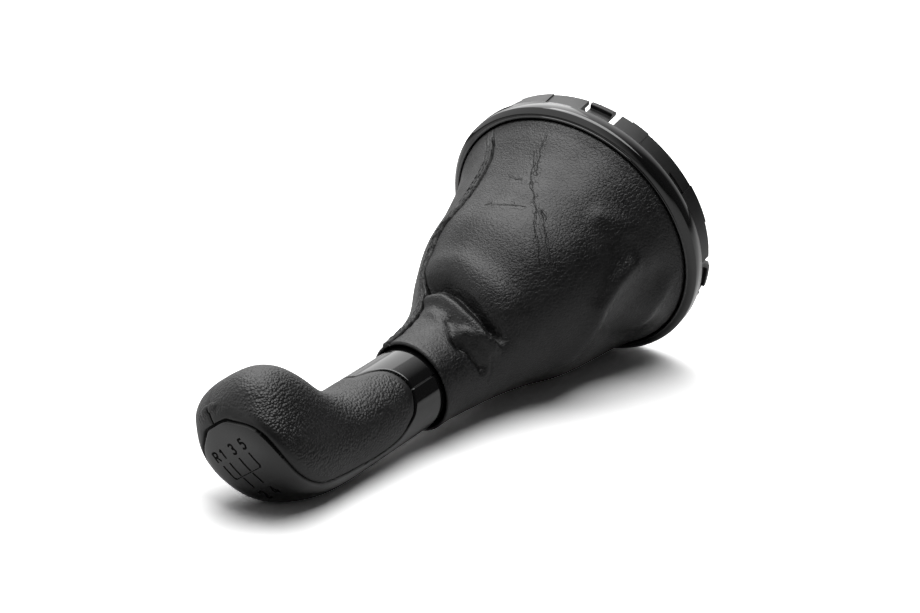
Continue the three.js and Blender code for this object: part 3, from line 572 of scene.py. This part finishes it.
def middle_frame(along):
    """Centre and unit vectors across, up and along the middle line, for an array of shares."""
    t = np.asarray(along, float)[:, None]
    centre = (3 * (1 - t) ** 2 * t * foot_handle + 3 * (1 - t) * t * t * rim_handle
              + t ** 3 * KNOB_AT)
    ahead = (3 * (1 - t) ** 2 * foot_handle + 6 * (1 - t) * t * (rim_handle - foot_handle)
             + 3 * t * t * (KNOB_AT - rim_handle))
    ahead /= np.linalg.norm(ahead, axis=1, keepdims=True)
    across = np.array([1.0, 0, 0]) - ahead * ahead[:, :1]
    across /= np.linalg.norm(across, axis=1, keepdims=True)
    return centre, across, np.cross(ahead, across), ahead


def on_circles(along, angle, radius, lift=0.0):
    """Points at angles and radii round the middle line, moved along it by a lift."""
    centre, across, upward, ahead = middle_frame(along)
    turn = np.radians(angle)[..., None]
    radius = np.broadcast_to(radius, turn.shape[:2])[..., None]
    return (centre[:, None] + across[:, None] * radius * np.cos(turn)
            + upward[:, None] * radius * np.sin(turn) + ahead[:, None] * lift)


# Columns stand closer together at the seam
CROWDING, CROWDED_AT, BEFORE_SEAM = 0.72, 0.008, 3
column = np.arange(COLUMNS) / COLUMNS
column_turn = 360 * (
    column - CROWDING * np.sin(2 * np.pi * (column - CROWDED_AT)) / (2 * np.pi))
column_turn -= column_turn[0] + BEFORE_SEAM

# The seam from its folded edge outwards: two stitched ridges on a raised strip
STITCH_STEP, RIDGES, SEAM_WIDE = 3.4, (1.35, 3.7), 5.5
STRIP_RISE, RIDGE_RISE, PUCKER_RISE = 0.62, 0.38, 0.1
EDGE_DROP, FAR_DROP, EDGE_WAVE = 1.1, 0.4, 0.28


def seam_form(offset, down):
    """Height of the topstitched seam, and the painted shade along its sunk edges."""
    pucker = np.sin(2 * np.pi * down / STITCH_STEP)
    edge = offset + EDGE_WAVE * np.sin(2 * np.pi * down / (2 * STITCH_STEP) + 0.7)
    raised = smooth(0, 0.9, edge) * (1 - smooth(4.3, 5.4, edge))
    ridges = sum(hump(edge - ridge, 0.62) for ridge in RIDGES)
    height = STRIP_RISE * raised + RIDGE_RISE * ridges + PUCKER_RISE * pucker * raised
    height -= EDGE_DROP * hump(edge, 0.6) + FAR_DROP * hump(edge - SEAM_WIDE, 0.6)
    # Painted shade along the seam's sunk folded edge and its far edge
    painted_shade = hump(edge, 0.65) + 0.55 * hump(edge - SEAM_WIDE, 0.5)
    return height, np.clip(painted_shade, 0, 1)


def lumps(points, size, seed):
    """Smooth noise at each point, from -1 to 1, in lumps of a size."""
    shift = Vector((seed, seed * 2.3, -seed))
    flat = points.reshape(-1, 3)
    values = [noise.noise(Vector(p) / size + shift) for p in flat]
    return np.array(values).reshape(points.shape[:-1])


# Unevenness of the leather: size of the lumps and what they add, in millimetres
BROAD_LUMP, BROAD_RISE = 26.0, 0.4
SMALL_LUMP, SMALL_RISE, WRINKLE_SHARE = 9.0, 0.1, 0.6
WANDER_LUMP, MARK_WANDER = 5.0, 1.4
MARK_DEPTH, MARK_HALF = 0.1, 0.6
# Shares of the length over which the leather comes free of its foot and its rim
FREE_FOOT, FREE_RIM = 0.05, 0.02
# Where it is free, the inner side lies deeper than its thickness, clear of the fine creases
INNER_SLACK = 1.5


def near_marks(angle, along, radius):
    """Distance to the stretch marks, and how far aside, up to the distance that matters."""
    near = np.full(angle.shape, MARK_REACH)
    aside = np.full(angle.shape, MARK_REACH)
    for path in MARKS:
        for step in zip(path, path[1:]):
            distance, side = beside(step, angle, along, radius)
            aside = np.where(distance < near, side, aside)
            near = np.minimum(distance, near)
    return near, aside


def gaiter_grid(along):
    """Angles, shares of the length and plain radii of the points of some rows, and the seam."""
    seam = through(SEAM_AT, SEAM_ANGLE, along)[:, None]
    angle = seam + column_turn[None, :]
    along = along[:, None] + 0 * angle
    return angle, along, plain_radius(angle, along), seam


def loose_share(along):
    """Share to which the leather is free, 0 at its foot and its rim."""
    return np.clip(np.minimum(along / FREE_FOOT, (1 - along) / FREE_RIM), 0, 1)


def outer_side(along):
    """Outer points of the leather, with the painted shade at the seam, how near a mark and how far
    aside each is.
    """
    angle, along, radius, seam = gaiter_grid(along)
    plain = on_circles(along[:, 0], angle, radius)
    rough = lumps(plain, SMALL_LUMP, seed=3.1)
    height = fold_height(FOLDS, angle, along, radius, FOLDS_FADE)
    wobble = 1 + WRINKLE_SHARE * rough
    height += wobble * fold_height(WRINKLES, angle, along, radius, WRINKLES_FADE)
    uneven = BROAD_RISE * lumps(plain, BROAD_LUMP, seed=7.7) + SMALL_RISE * rough
    height += loose_share(along) * uneven
    offset = np.radians((angle - seam + 180) % 360 - 180) * radius
    seam_height, painted_shade = seam_form(offset, along * LENGTH)
    at_foot = np.clip(along / FREE_FOOT, 0, 1)
    height += seam_height * at_foot
    shift = MARK_WANDER * lumps(plain, WANDER_LUMP, seed=1.3)
    mark, aside = near_marks(angle + np.degrees(shift / radius), along, radius)
    height -= MARK_DEPTH * hump(mark, MARK_HALF)
    return on_circles(along[:, 0], angle, radius + height), painted_shade * at_foot, mark, aside


def inner_side(along):
    """Inner points of the leather, which follow the folds only."""
    angle, along, radius, _ = gaiter_grid(along)
    slope = (plain_radius(angle, np.minimum(along + 0.01, 1)) - radius) / (0.01 * LENGTH)
    height = fold_height(FOLDS, angle, along, radius, FOLDS_FADE)
    height -= (THICK + INNER_SLACK * loose_share(along)) * np.hypot(1, slope)
    return on_circles(along[:, 0], angle, radius + height)


def row_shares(count):
    """Shares of the length of the rows, closer together at the folds above the neck."""
    crowding, widest_at = 0.45, 0.2
    even = np.arange(1, count) / count
    wave = np.sin(2 * np.pi * (even - widest_at)) + math.sin(2 * np.pi * widest_at)
    return even + crowding / (2 * np.pi) * wave


def plain_rows(along, rows, seam_rows=0):
    """Rings of fixed radius and lift at the foot or the rim, the seam fading over the first."""
    seam = through(SEAM_AT, SEAM_ANGLE, along)
    shape = np.broadcast_to((seam + column_turn)[None, :], (1, COLUMNS))
    offset = np.radians((column_turn + 180) % 360 - 180) * RIM_R
    raised = seam_form(offset, np.full(COLUMNS, LENGTH * along))[0]
    rings = []
    for i, (radius, lift) in enumerate(rows):
        standing = 1 - i / seam_rows if i < seam_rows else 0
        rings.append(on_circles(np.array([along]), shape, radius + raised * standing, lift))
    return rings


# The foot goes down into the carrier; the rim rolls inwards and its hem runs down to the tie
HEM_IN, HEM_OUT, SEAM_ON_RIM, INNER_FROM = 17.925, 18.925, 6, 11
foot_lifts = (-12.5, -9, -5.5, -3, -1.5, -0.7)
rim_rows = [(21.2, -0.55), (21.08, -0.22), (20.82, -0.04), (20.5, 0), (20.2, -0.06),
            (19.96, -0.25), (19.85, -0.6), (19.78, -1.6), (19.5, -3.2), (18.6, -4.3),
            (HEM_IN, -5.2), (HEM_IN, -10), (HEM_IN, -14), (HEM_OUT, -14), (HEM_OUT, -6.3),
            (RIM_R - THICK, -3.6)]
outer, painted_shade, mark, aside = outer_side(row_shares(ROWS))
inner = inner_side(row_shares(INNER_ROWS)[:-2][::-1])
rows = np.concatenate(
    plain_rows(0, [(FOOT_R, lift) for lift in foot_lifts]) + [outer]
    + plain_rows(1, rim_rows, SEAM_ON_RIM) + [inner]
    + plain_rows(0, [(FOOT_R - THICK, lift) for lift in foot_lifts[::-1]]))
faces = [face[::-1] for face in grid_faces(len(rows), COLUMNS, loop=True)]
gaiter = make("gaiter_leather", from_ring(rows), faces, LEATHER)
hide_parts("leather_gaiter")
first, last = len(foot_lifts), len(foot_lifts) + len(outer)
fields = {name: np.full((len(rows), COLUMNS), away) for name, away in (
    ("seam", 0.0), ("mark", MARK_REACH), ("across", MARK_REACH), ("inner", 0.0))}
# The seam layer carries the painted shade along the seam's edges
for name, values in (("seam", painted_shade), ("mark", mark), ("across", aside)):
    fields[name][first:last] = values
fields["inner"][last + INNER_FROM:] = 1
for name, values in fields.items():
    store(gaiter, name, values)


# Stitches along the two ridges of the seam
STITCH_R, STITCH_LIFT = 0.22, 0.03


def capsule(start, end, radius, sides=8):
    """A short thread between two points, tapered and bent a little at its ends."""
    axis = end - start
    length = np.linalg.norm(axis)
    axis = axis / length
    side = np.cross(axis, [0.3, 0.2, 1])
    side /= np.linalg.norm(side)
    other = np.cross(axis, side)
    turn = np.arange(sides) * 2 * np.pi / sides
    rings = []
    for along, share in ((0, 0.35), (0.12, 0.85), (0.5, 1), (0.88, 0.85), (1, 0.35)):
        sag = -0.35 * radius * (2 * along - 1) ** 2
        centre = start + axis * length * along
        rings.append(centre + radius * share * (np.cos(turn)[:, None] * side
                                                + np.sin(turn)[:, None] * other) + sag * other)
    faces = grid_faces(len(rings), sides)
    faces += [list(range(sides))[::-1], list(range((len(rings) - 1) * sides, len(rings) * sides))]
    return np.concatenate(rings), faces


def on_seam(offset, along, lift):
    """The point at an offset beside the seam's edge, lifted off the leather."""
    seam = through(SEAM_AT, SEAM_ANGLE, along)
    radius = plain_radius(seam, along)
    angle = np.array([[seam + math.degrees(offset / float(radius))]])
    height = fold_height(FOLDS, angle, np.array([[along]]), radius, FOLDS_FADE)
    height += seam_form(np.array([[offset]]), np.array([[along * LENGTH]]))[0]
    radius = plain_radius(angle, np.array([[along]]))
    return on_circles(np.array([along]), angle, radius + height + lift)[0, 0]


stitches = []
for offset in RIDGES:
    for along in np.arange(5, 126, STITCH_STEP):
        ends = [on_seam(offset, (along + d) / LENGTH, STITCH_LIFT) for d in (0.55, 2.85)]
        stitches.append(capsule(*ends, STITCH_R))
points, faces = gathered(stitches)
make("seam_thread", from_ring(points), faces, THREAD)

# Knob, in its own frame: X to the car's right, Y to its front, Z up from the gaiter's rim
NECK_R, NECK_HEIGHT, KNOB_HEIGHT, REACH, HALF_WIDTH = 18.8, 46, 99.5, 44.3, 24.8
COLLAR_DROP, COLLAR_SIDE, COLLAR_FRONT, COLLAR_BACK, NOSE_SPLIT = 3, 16, 31.5, 28, 0.775
# Stations of the head: front (out, up), back (out, up) and width as shares of the ranges above,
# squareness at the back and at the front, and the plate's half width in millimetres
STATIONS = np.array([
    [0.02, 0.03, 0, 0.075, 0.01, 2, 2, 10.1],
    [0.165, 0.112, 0.005, 0.26, 0.13, 2.1, 2, 11.2],
    [0.31, 0.165, 0.025, 0.45, 0.37, 2.3, 2.1, 12.4],
    [0.505, 0.23, 0.071, 0.61, 0.63, 2.7, 2.3, 12.9],
    [0.705, 0.32, 0.14, 0.75, 0.87, 3.2, 2.5, 15.8],
    [0.85, 0.42, 0.25, 0.856, 1, 4, 2.7, 18.9],
    [0.95, 0.53, 0.393, 0.927, 0.97, 4.6, 2.7, 21],
    [0.983, 0.64, 0.52, 0.964, 0.72, 5.2, 2.6, 21],
    [0.975, 0.745, 0.63, 0.981, 0.24, 4.8, 2.5, 17.7],
    [0.925, 0.825, 0.718, 0.99, -0.45, 3.2, 2.3, 11],
    [0.83, 0.9, 0.797, 0.99, -1.35, 2.4, 2.2, 2.4],
    [0.76, 0.94, 0.85, 0.978, -2.1, 2.2, 2.1, 0],
])
HEAD_END = len(STATIONS)
ROUND = 2


def knob_sections(at):
    """Front and back points, half width, squareness and plate half width, for an array."""
    at = np.asarray(at, float)
    stations = np.arange(HEAD_END) + 1
    front_out, front_up, back_out, back_up, wide, square, nose, plate = (
        through(stations, values, np.maximum(at, 1)) for values in STATIONS.T)
    in_neck = at < 1
    low = mix(-COLLAR_DROP, NECK_HEIGHT, np.clip(at, 0, 1))
    front = np.stack([
        np.where(in_neck, NECK_R, mix(NECK_R, REACH, front_out)),
        np.where(in_neck, low, mix(NECK_HEIGHT, KNOB_HEIGHT, front_up))], axis=-1)
    back = np.stack([
        np.where(in_neck, -NECK_R, mix(-NECK_R, REACH, back_out)),
        np.where(in_neck, low, mix(NECK_HEIGHT, KNOB_HEIGHT, back_up))], axis=-1)
    width = np.where(in_neck, NECK_R, mix(NECK_R, HALF_WIDTH, wide))
    square = np.where(in_neck, ROUND, square)
    nose = np.where(in_neck, ROUND, nose)
    return front, back, width, square, nose, np.maximum(plate, 0)


def knob_rings(at, columns):
    """One squarish ring of points for each place along the knob."""
    front, back, width, square, nose, _ = knob_sections(at)
    middle = (front + back) / 2
    along = back - front
    half = np.linalg.norm(along, axis=1) / 2
    along /= 2 * half[:, None]
    turn = np.arange(columns) * 2 * np.pi / columns
    power = np.where(np.cos(turn)[None] > 0, square[:, None], nose[:, None])
    total = (np.abs(np.cos(turn)[None] / half[:, None]) ** power
             + np.abs(np.sin(turn)[None] / width[:, None]) ** power)
    radius = total ** (-1 / power)
    out = radius * np.cos(turn)
    return np.stack([radius * np.sin(turn), middle[:, :1] + along[:, :1] * out,
                     middle[:, 1:] + along[:, 1:] * out], axis=-1)


def grip_outline():
    """Side view of the grips' edge as a closed line of (front, up) points."""
    edge = [(NECK_R * out, mix(COLLAR_SIDE, COLLAR_FRONT, up)) for out, up in (
        (1.2, 1), (0.95, 0.97), (0.89, 0.82), (0.82, 0.5), (0.67, 0.21), (0.4, 0.05))]
    edge += [(NECK_R * out, mix(COLLAR_SIDE, COLLAR_BACK, up)) for out, up in (
        (0, 0), (-0.27, 0.14), (-0.5, 0.31), (-0.68, 0.69), (-0.79, 1))]
    edge += [(NECK_R * out, mix(COLLAR_BACK, NECK_HEIGHT, up)) for out, up in (
        (-0.838, 0.22), (-0.86, 0.6), (-0.855, 1))]
    front, back, width, square, _, plate = knob_sections(np.arange(1.5, HEAD_END - 1.2, 0.5))
    share = np.minimum(plate / width, 0.98)
    out = (1 - share ** square) ** (1 / square)
    plate_edge = (front + back) / 2 + (back - front) / 2 * out[:, None]
    split = mix(-NECK_R, REACH, NOSE_SPLIT)
    edge = np.array(edge + plate_edge.tolist() + [(split, KNOB_HEIGHT + 0.3)])
    order = np.arange(len(edge))
    fine = np.linspace(0, order[-1], 8 * len(edge))
    line = np.stack([through(order, edge[:, k], fine) for k in (0, 1)], axis=-1)
    past_top, past_front = KNOB_HEIGHT + 6, REACH + 8
    corners = [(split + 1, past_top), (past_front, past_top), (past_front, COLLAR_FRONT)]
    return np.concatenate([line, corners])


def inside_by(loop, points):
    """Distance of each 2-D point inside a closed line, negative outside."""
    flat = points.reshape(-1, 2)
    least = np.full(len(flat), np.inf)
    inside = np.zeros(len(flat), bool)
    for a, b in zip(loop, np.roll(loop, -1, 0)):
        step = b - a
        t = np.clip((flat - a) @ step / (step @ step + 1e-12), 0, 1)
        least = np.minimum(least, np.linalg.norm(flat - a - t[:, None] * step, axis=1))
        crosses = (a[1] > flat[:, 1]) != (b[1] > flat[:, 1])
        with np.errstate(divide="ignore", invalid="ignore"):
            x = a[0] + (flat[:, 1] - a[1]) / (b[1] - a[1]) * step[0]
        inside ^= crosses & (flat[:, 0] < x)
    return np.where(inside, least, -least).reshape(points.shape[:-1])


def grid_steps(values):
    """Change of values from row to row and round each row of a wrapped grid."""
    return np.gradient(values, axis=0), (np.roll(values, -1, 1) - np.roll(values, 1, 1)) / 2


def over_surface(points, values):
    """Slope of values over a wrapped grid of points, as a vector along the surface."""
    down, around = grid_steps(points)
    value_down, value_around = grid_steps(values)
    e, f, g = (down * down).sum(-1), (down * around).sum(-1), (around * around).sum(-1)
    area = np.maximum(e * g - f * f, 1e-9)
    return (((g * value_down - f * value_around) / area)[..., None] * down
            + ((e * value_around - f * value_down) / area)[..., None] * around)


def normals_of(points):
    """Unit vectors out of the surface of a wrapped grid of points."""
    normal = np.cross(*grid_steps(points))
    normal /= np.maximum(np.linalg.norm(normal, axis=-1, keepdims=True), 1e-9)
    outward = points - points.mean(axis=1, keepdims=True)
    return normal * np.sign((normal * outward).sum(-1).mean())


KNOB_COLUMNS, NECK_ROWS, HEAD_ROWS, EASINGS = ((360, 112, 264, 40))
at = np.concatenate([np.linspace(0.006, 1, NECK_ROWS, endpoint=False),
                     np.linspace(1, HEAD_END, HEAD_ROWS)])
body = knob_rings(at, KNOB_COLUMNS)
# Ease the bends between the stations, but leave the collar alone
hold = smooth(0.55, 0.9, at)[:, None, None]
for _ in range(EASINGS):
    eased = body.copy()
    eased[1:-1] += 0.5 * ((body[:-2] + body[2:]) / 2 - body[1:-1])
    body = mix(body, eased, hold)

# Domed end of the nose and the turned-in foot of the collar
DOME_RISE, DOME_ANGLES = 1.1, (12, 26, 40, 54, 68, 80, 88)
COLLAR_FOOT = ((16.2, -2.2), (16.25, -2.95), (18.45, -3), (18.72, -2.92))
end = body[-1]
centre = end.mean(axis=0)
ahead = np.cross(end[0] - centre, end[KNOB_COLUMNS // 4] - centre)
ahead *= np.sign(ahead[1] + ahead[2]) / np.linalg.norm(ahead)
dome = [centre + (end - centre) * math.cos(t) + ahead * DOME_RISE * math.sin(t)
        for t in np.radians(DOME_ANGLES)]
turn = np.arange(KNOB_COLUMNS) * 2 * np.pi / KNOB_COLUMNS
foot = [np.stack([r * np.sin(turn), -r * np.cos(turn), np.full_like(turn, z)], axis=-1)
        for r, z in COLLAR_FOOT]
body = np.concatenate([foot, body, dome])

# How far each point lies inside the grips' edge, along the surface
grip_by = inside_by(grip_outline(), body[..., 1:])
grip_by /= np.clip(np.linalg.norm(over_surface(body, grip_by), axis=-1), 0.3, 1)
# The points next to the grips' edge are moved onto it, so that the groove runs evenly
slope = over_surface(body, grip_by)
beside_edge = np.zeros(grip_by.shape, bool)
for shift, axis in ((1, 0), (-1, 0), (1, 1), (-1, 1)):
    other = np.roll(grip_by, shift, axis)
    beside_edge |= (grip_by * other < 0) & (np.abs(grip_by) <= np.abs(other))
beside_edge[:len(foot) + 1] = False
beside_edge[-len(dome) - 1:] = False
step = grip_by / np.maximum((slope ** 2).sum(-1), 0.3)
body -= np.where(beside_edge, step, 0)[..., None] * slope
grip_by = np.where(beside_edge, 0, grip_by)

# Grooves round the grips, between the grips and between the collars: depth, half width and
# half width of the line of painted shade along the groove
GRIP_GROOVE, NOSE_GROOVE, COLLAR_GROOVE = (0.8, 0.55, 0.62), (0.55, 0.4, 0.42), (0.3, 0.2, 0.16)
# How strong the painted shade is in the groove between the collars
COLLAR_SHADE = 0.8
# The grips swell from their sunk edge, and the shells fall a little towards it
SWELL, EDGE_SINK, SHELL_FALL = 0.3, 0.2, 0.12
across, out, up = body[..., 0], body[..., 1], body[..., 2]
SPLIT_FROM, COLLAR_SPLIT_TOP, FAR = -6, COLLAR_SIDE + 9, 9
split_front = np.where((grip_by > 0) & (out > SPLIT_FROM), np.abs(across), FAR)
split_collar = np.where((grip_by < 0) & (up < COLLAR_SPLIT_TOP), np.abs(out), FAR)
height, groove = np.zeros_like(grip_by), np.zeros_like(grip_by)
for distance, (depth, half, shade_half), shade in (
        (grip_by, GRIP_GROOVE, 1), (split_front, NOSE_GROOVE, 1),
        (split_collar, COLLAR_GROOVE, COLLAR_SHADE)):
    height -= depth * trough(distance, half)
    groove = np.maximum(groove, shade * trough(distance, shade_half))
edge = np.minimum(np.maximum(grip_by, 0), split_front)
height += np.where(grip_by > 0, SWELL * smooth(0.2, 1.8, edge) - EDGE_SINK, 0)
height -= np.where(grip_by < 0, SHELL_FALL * (1 - smooth(0.4, 1.1, -grip_by)), 0)
height[:len(foot) - 1] = 0
shell = body + normals_of(body) * height[..., None]
grain = smooth(2.2, 4.2, grip_by) * smooth(1.2, 3, split_front)

# Squares that the grips' edge crosses from corner to corner become two triangles along it
faces = np.array(grid_faces(len(shell), KNOB_COLUMNS))
on_edge = (grip_by == 0).reshape(-1)[faces]
first_way = on_edge[:, 0] & on_edge[:, 2]
second_way = on_edge[:, 1] & on_edge[:, 3] & ~first_way
faces = np.concatenate([
    faces[~first_way & ~second_way],
    *(np.column_stack([faces[way][:, corners], faces[way][:, corners[:1]]])
      for way, corners in ((first_way, [0, 1, 2]), (first_way, [2, 3, 0]),
                           (second_way, [1, 2, 3]), (second_way, [3, 0, 1])))])


def at_faces(values):
    """Mean of the values at each face's corners."""
    return values.reshape(-1)[faces].mean(axis=1)


in_grip = at_faces(grip_by) > 0
right = at_faces(across) > 0
in_front = (at_faces(out) > 0) & (at_faces(up) < (COLLAR_FRONT + KNOB_HEIGHT) / 2)
knob_pieces = {
    "grip_right_skin": (in_grip & right, GRIP, "soft_grip", "grip_right"),
    "grip_left_skin": (in_grip & ~right, GRIP, "soft_grip", "grip_left"),
    "collar_front_skin": (~in_grip & in_front, GLOSS, "gloss_trim", "front_collar_shell"),
    "rear_shell_skin": (~in_grip & ~in_front, GLOSS, "gloss_trim", "rear_shell"),
}
shell_points = from_knob(shell.reshape(-1, 3))
for name, (chosen, material, slot_name, node) in knob_pieces.items():
    used, local = np.unique(faces[chosen], return_inverse=True)
    local = [quad[:3] if quad[3] == quad[0] else quad for quad in local.reshape(-1, 4).tolist()]
    piece = make(name, shell_points[used], local, material)
    # The groove layer carries the painted shade along the grooves
    store(piece, "groove", groove.reshape(-1)[used])
    store(piece, "grain", grain.reshape(-1)[used])
    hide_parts(node)

# Shift pattern engraved on the plate: strokes seen from above as (right, front) points
FIGURES = {
    "R": [[(0, 0), (0, 1), (0.55, 1), (0.85, 0.86), (0.85, 0.64), (0.55, 0.5), (0, 0.5)],
          [(0.42, 0.5), (0.9, 0)]],
    "1": [[(0.15, 0.76), (0.5, 1), (0.5, 0)]],
    "2": [[(0.02, 0.78), (0.14, 0.94), (0.42, 1), (0.7, 0.94), (0.84, 0.76), (0.74, 0.52), (0, 0),
           (0.9, 0)]],
    "3": [[(0.02, 0.88), (0.28, 1), (0.6, 1), (0.82, 0.86), (0.8, 0.64), (0.4, 0.53), (0.8, 0.44),
           (0.88, 0.2), (0.65, 0), (0.25, 0), (0, 0.12)]],
    "4": [[(0.66, 0), (0.66, 1), (0, 0.3), (0.95, 0.3)]],
    "5": [[(0.85, 1), (0.16, 1), (0.1, 0.56), (0.45, 0.64), (0.8, 0.52), (0.88, 0.28), (0.65, 0.02),
           (0.3, 0), (0, 0.12)]],
}
FIGURE_WIDE, FIGURE_HIGH, FIGURE_MIDDLE, TOP_ROW, LOW_ROW = 2.9, 4.4, 0.45, 15.8, -6.9
STROKE, THIN_STROKE, STROKE_SINK, STROKE_RISE = 0.95, 0.35, -0.2, 0.03
GATES = {"R": -11, "1": -6.2, "3": 1, "5": 8.4}
OPPOSITE = {"2": "1", "4": "3"}
GATE_TOP, GATE_LOW, CROSSBAR, CORNER, BREAK = 13.7, 0, 6.3, 0.9, 0.5
strokes = []
for gate, inward in (("R", CORNER), ("5", -CORNER)):
    strokes.append([(GATES[gate], GATE_TOP), (GATES[gate], CROSSBAR + CORNER),
                    (GATES[gate] + inward, CROSSBAR)])
for gate in ("1", "3"):
    strokes.append([(GATES[gate], GATE_TOP), (GATES[gate], CROSSBAR + BREAK)])
    strokes.append([(GATES[gate], CROSSBAR - BREAK), (GATES[gate], GATE_LOW)])
for figure, lines in FIGURES.items():
    middle = GATES[OPPOSITE.get(figure, figure)]
    foot = LOW_ROW if figure in OPPOSITE else TOP_ROW
    for line in lines:
        strokes.append([(middle + (x - FIGURE_MIDDLE) * FIGURE_WIDE, foot + y * FIGURE_HIGH)
                        for x, y in line])
plate_faces = faces[~in_grip & ~in_front]
plate_tree = BVHTree.FromPolygons(shell.reshape(-1, 3).tolist(), plate_faces.tolist())


def engraved_stroke(line, width=STROKE):
    """A flat line laid into the plate along a path."""
    line = np.array(line, float)
    length = np.concatenate([[0], np.cumsum(np.linalg.norm(np.diff(line, axis=0), axis=1))])
    at = np.unique(np.concatenate([length, np.arange(0, length[-1], 0.5)]))
    middle = np.stack([np.interp(at, length, line[:, k]) for k in (0, 1)], axis=-1)
    ahead = np.gradient(middle, axis=0)
    side = np.column_stack([-ahead[:, 1], ahead[:, 0]]) / np.linalg.norm(ahead, axis=1)[:, None]
    points = []
    for shift, lift in ((0.5, STROKE_SINK), (0.5, STROKE_RISE), (-0.5, STROKE_RISE),
                        (-0.5, STROKE_SINK)):
        row = []
        for x, y in middle + side * width * shift:
            found, normal, _, _ = plate_tree.ray_cast((x, y, KNOB_HEIGHT + 30), (0, 0, -1))
            row.append(found + normal * lift * (1 if normal.z > 0 else -1))
        points.append(row)
    points = np.array(points).transpose(1, 0, 2)
    last = 4 * len(points)
    loops = grid_faces(len(points), 4) + [[3, 2, 1, 0], [last - 4, last - 3, last - 2, last - 1]]
    return points.reshape(-1, 3), loops


crossbar = [(GATES["R"] + CORNER, CROSSBAR), (GATES["5"] - CORNER, CROSSBAR)]
points, loops = gathered([engraved_stroke(crossbar, THIN_STROKE)]
                         + [engraved_stroke(line) for line in strokes])
make("shift_pattern", from_knob(points), loops, INK, sharp=30)

# Pieces that stay as the CAD made them, with their finishes
KEPT = (("neck_ring", MATT), ("knob_core", CORE), ("lever_bush", NYLON), ("gaiter_tie", NYLON),
        ("neck_clip", STEEL), ("lever_clamp", STEEL))
for node, material in KEPT:
    kept_materials = frame["nodes"][node].data.materials
    kept_materials.clear()
    kept_materials.append(material)

# White table: paler to the camera than to the part, and glowing white far away
TABLE_HALF, TABLE_LIGHT, TABLE_SEEN = 9, 0.6, 1.7
GLOW_FROM, GLOW_FULL = 0.35, 0.7


def white_table():
    n = Finish("white_table")
    seen = n.put("ShaderNodeLightPath").outputs["Is Camera Ray"]
    away = n.put("ShaderNodeVectorMath", {0: n.where()}, operation="LENGTH").outputs["Value"]
    glow = n.math("MULTIPLY", seen, n.ramp(away, GLOW_FROM, GLOW_FULL, 0, 1))
    return n.surface(
        Base_Color=n.blend(seen, grey(TABLE_LIGHT), grey(TABLE_SEEN)),
        Roughness=0.6,
        Specular_IOR_Level=0.0,
        Emission_Color=grey(1),
        Emission_Strength=glow)


corners = [(x * TABLE_HALF, y * TABLE_HALF, 0) for x, y in ((-1, -1), (1, -1), (1, 1), (-1, 1))]
table_mesh = bpy.data.meshes.new("table_top")
table_mesh.from_pydata(corners, [], [(0, 1, 2, 3)])
table_mesh.materials.append(white_table())
in_scene("table_top", table_mesh)

# White all round for the camera; in reflections the white stops towards the right
AMBIENT, DARK_SIDE, WHITE_TO, DARK_FROM = 0.05, 0.03, -0.1, 0.45
world = bpy.data.worlds.new("studio")
bpy.context.scene.world = world
world.use_nodes = True
sky = Tree(world.node_tree)
rays = sky.put("ShaderNodeLightPath").outputs
toward = sky.put("ShaderNodeTexCoord").outputs["Generated"]
rightward = sky.put("ShaderNodeSeparateXYZ", {0: toward}).outputs["X"]
backdrop = sky.ramp(rightward, WHITE_TO, DARK_FROM, 1.0, DARK_SIDE)
mirrored = sky.math("MAXIMUM", rays["Is Glossy Ray"], rays["Is Transmission Ray"])
light = sky.math("MULTIPLY", mirrored, backdrop)
light = sky.math("MAXIMUM", light, rays["Is Camera Ray"])
light = sky.math("MAXIMUM", light, AMBIENT)
sky.feed(sky.tree.nodes["Background"].inputs["Color"], light)


def lamp(name, place, target, size, power):
    """A rectangular lamp that shines from a place towards a target."""
    data = bpy.data.lights.new(name, "AREA")
    data.shape = "RECTANGLE"
    data.size, data.size_y = size
    data.energy = power
    light = in_scene(name, data)
    light.location = place
    light.rotation_mode = "QUATERNION"
    light.rotation_quaternion = (Vector(target) - Vector(place)).to_track_quat("-Z", "Y")


lamp("softbox", place=(0.01, 0.06, 0.95), target=(0, 0, 0), size=(1.28, 0.7936), power=12.5)
lamp("side_panel", place=(-0.55, 0.5, 0.62), target=(0, 0, 0.03), size=(0.7, 0.7), power=2)

# Camera at the photo's view: focal length in pixels, place in millimetres, rows of its turn
PHOTO_WIDTH, FOCAL_LENGTH, SENSOR = 920, 1800, 36
CAMERA_AT = np.array([442.42, -605.7, 327.96])
CAMERA_TURN = ((0.8099, -0.2006, 0.5511), (0.5865, 0.277, -0.7611), (0, 0.9397, 0.342))
camera_data = bpy.data.cameras.new("camera")
camera = in_scene("camera", camera_data)
bpy.context.scene.camera = camera
camera_data.sensor_width = SENSOR
camera_data.lens = SENSOR * FOCAL_LENGTH / PHOTO_WIDTH
camera_data.clip_start = 0.05
camera_data.clip_end = 30
camera.location = CAMERA_AT * MM
camera.rotation_mode = "QUATERNION"
camera.rotation_quaternion = Matrix(CAMERA_TURN).to_quaternion()
bpy.context.scene.view_settings.view_transform = "Standard"
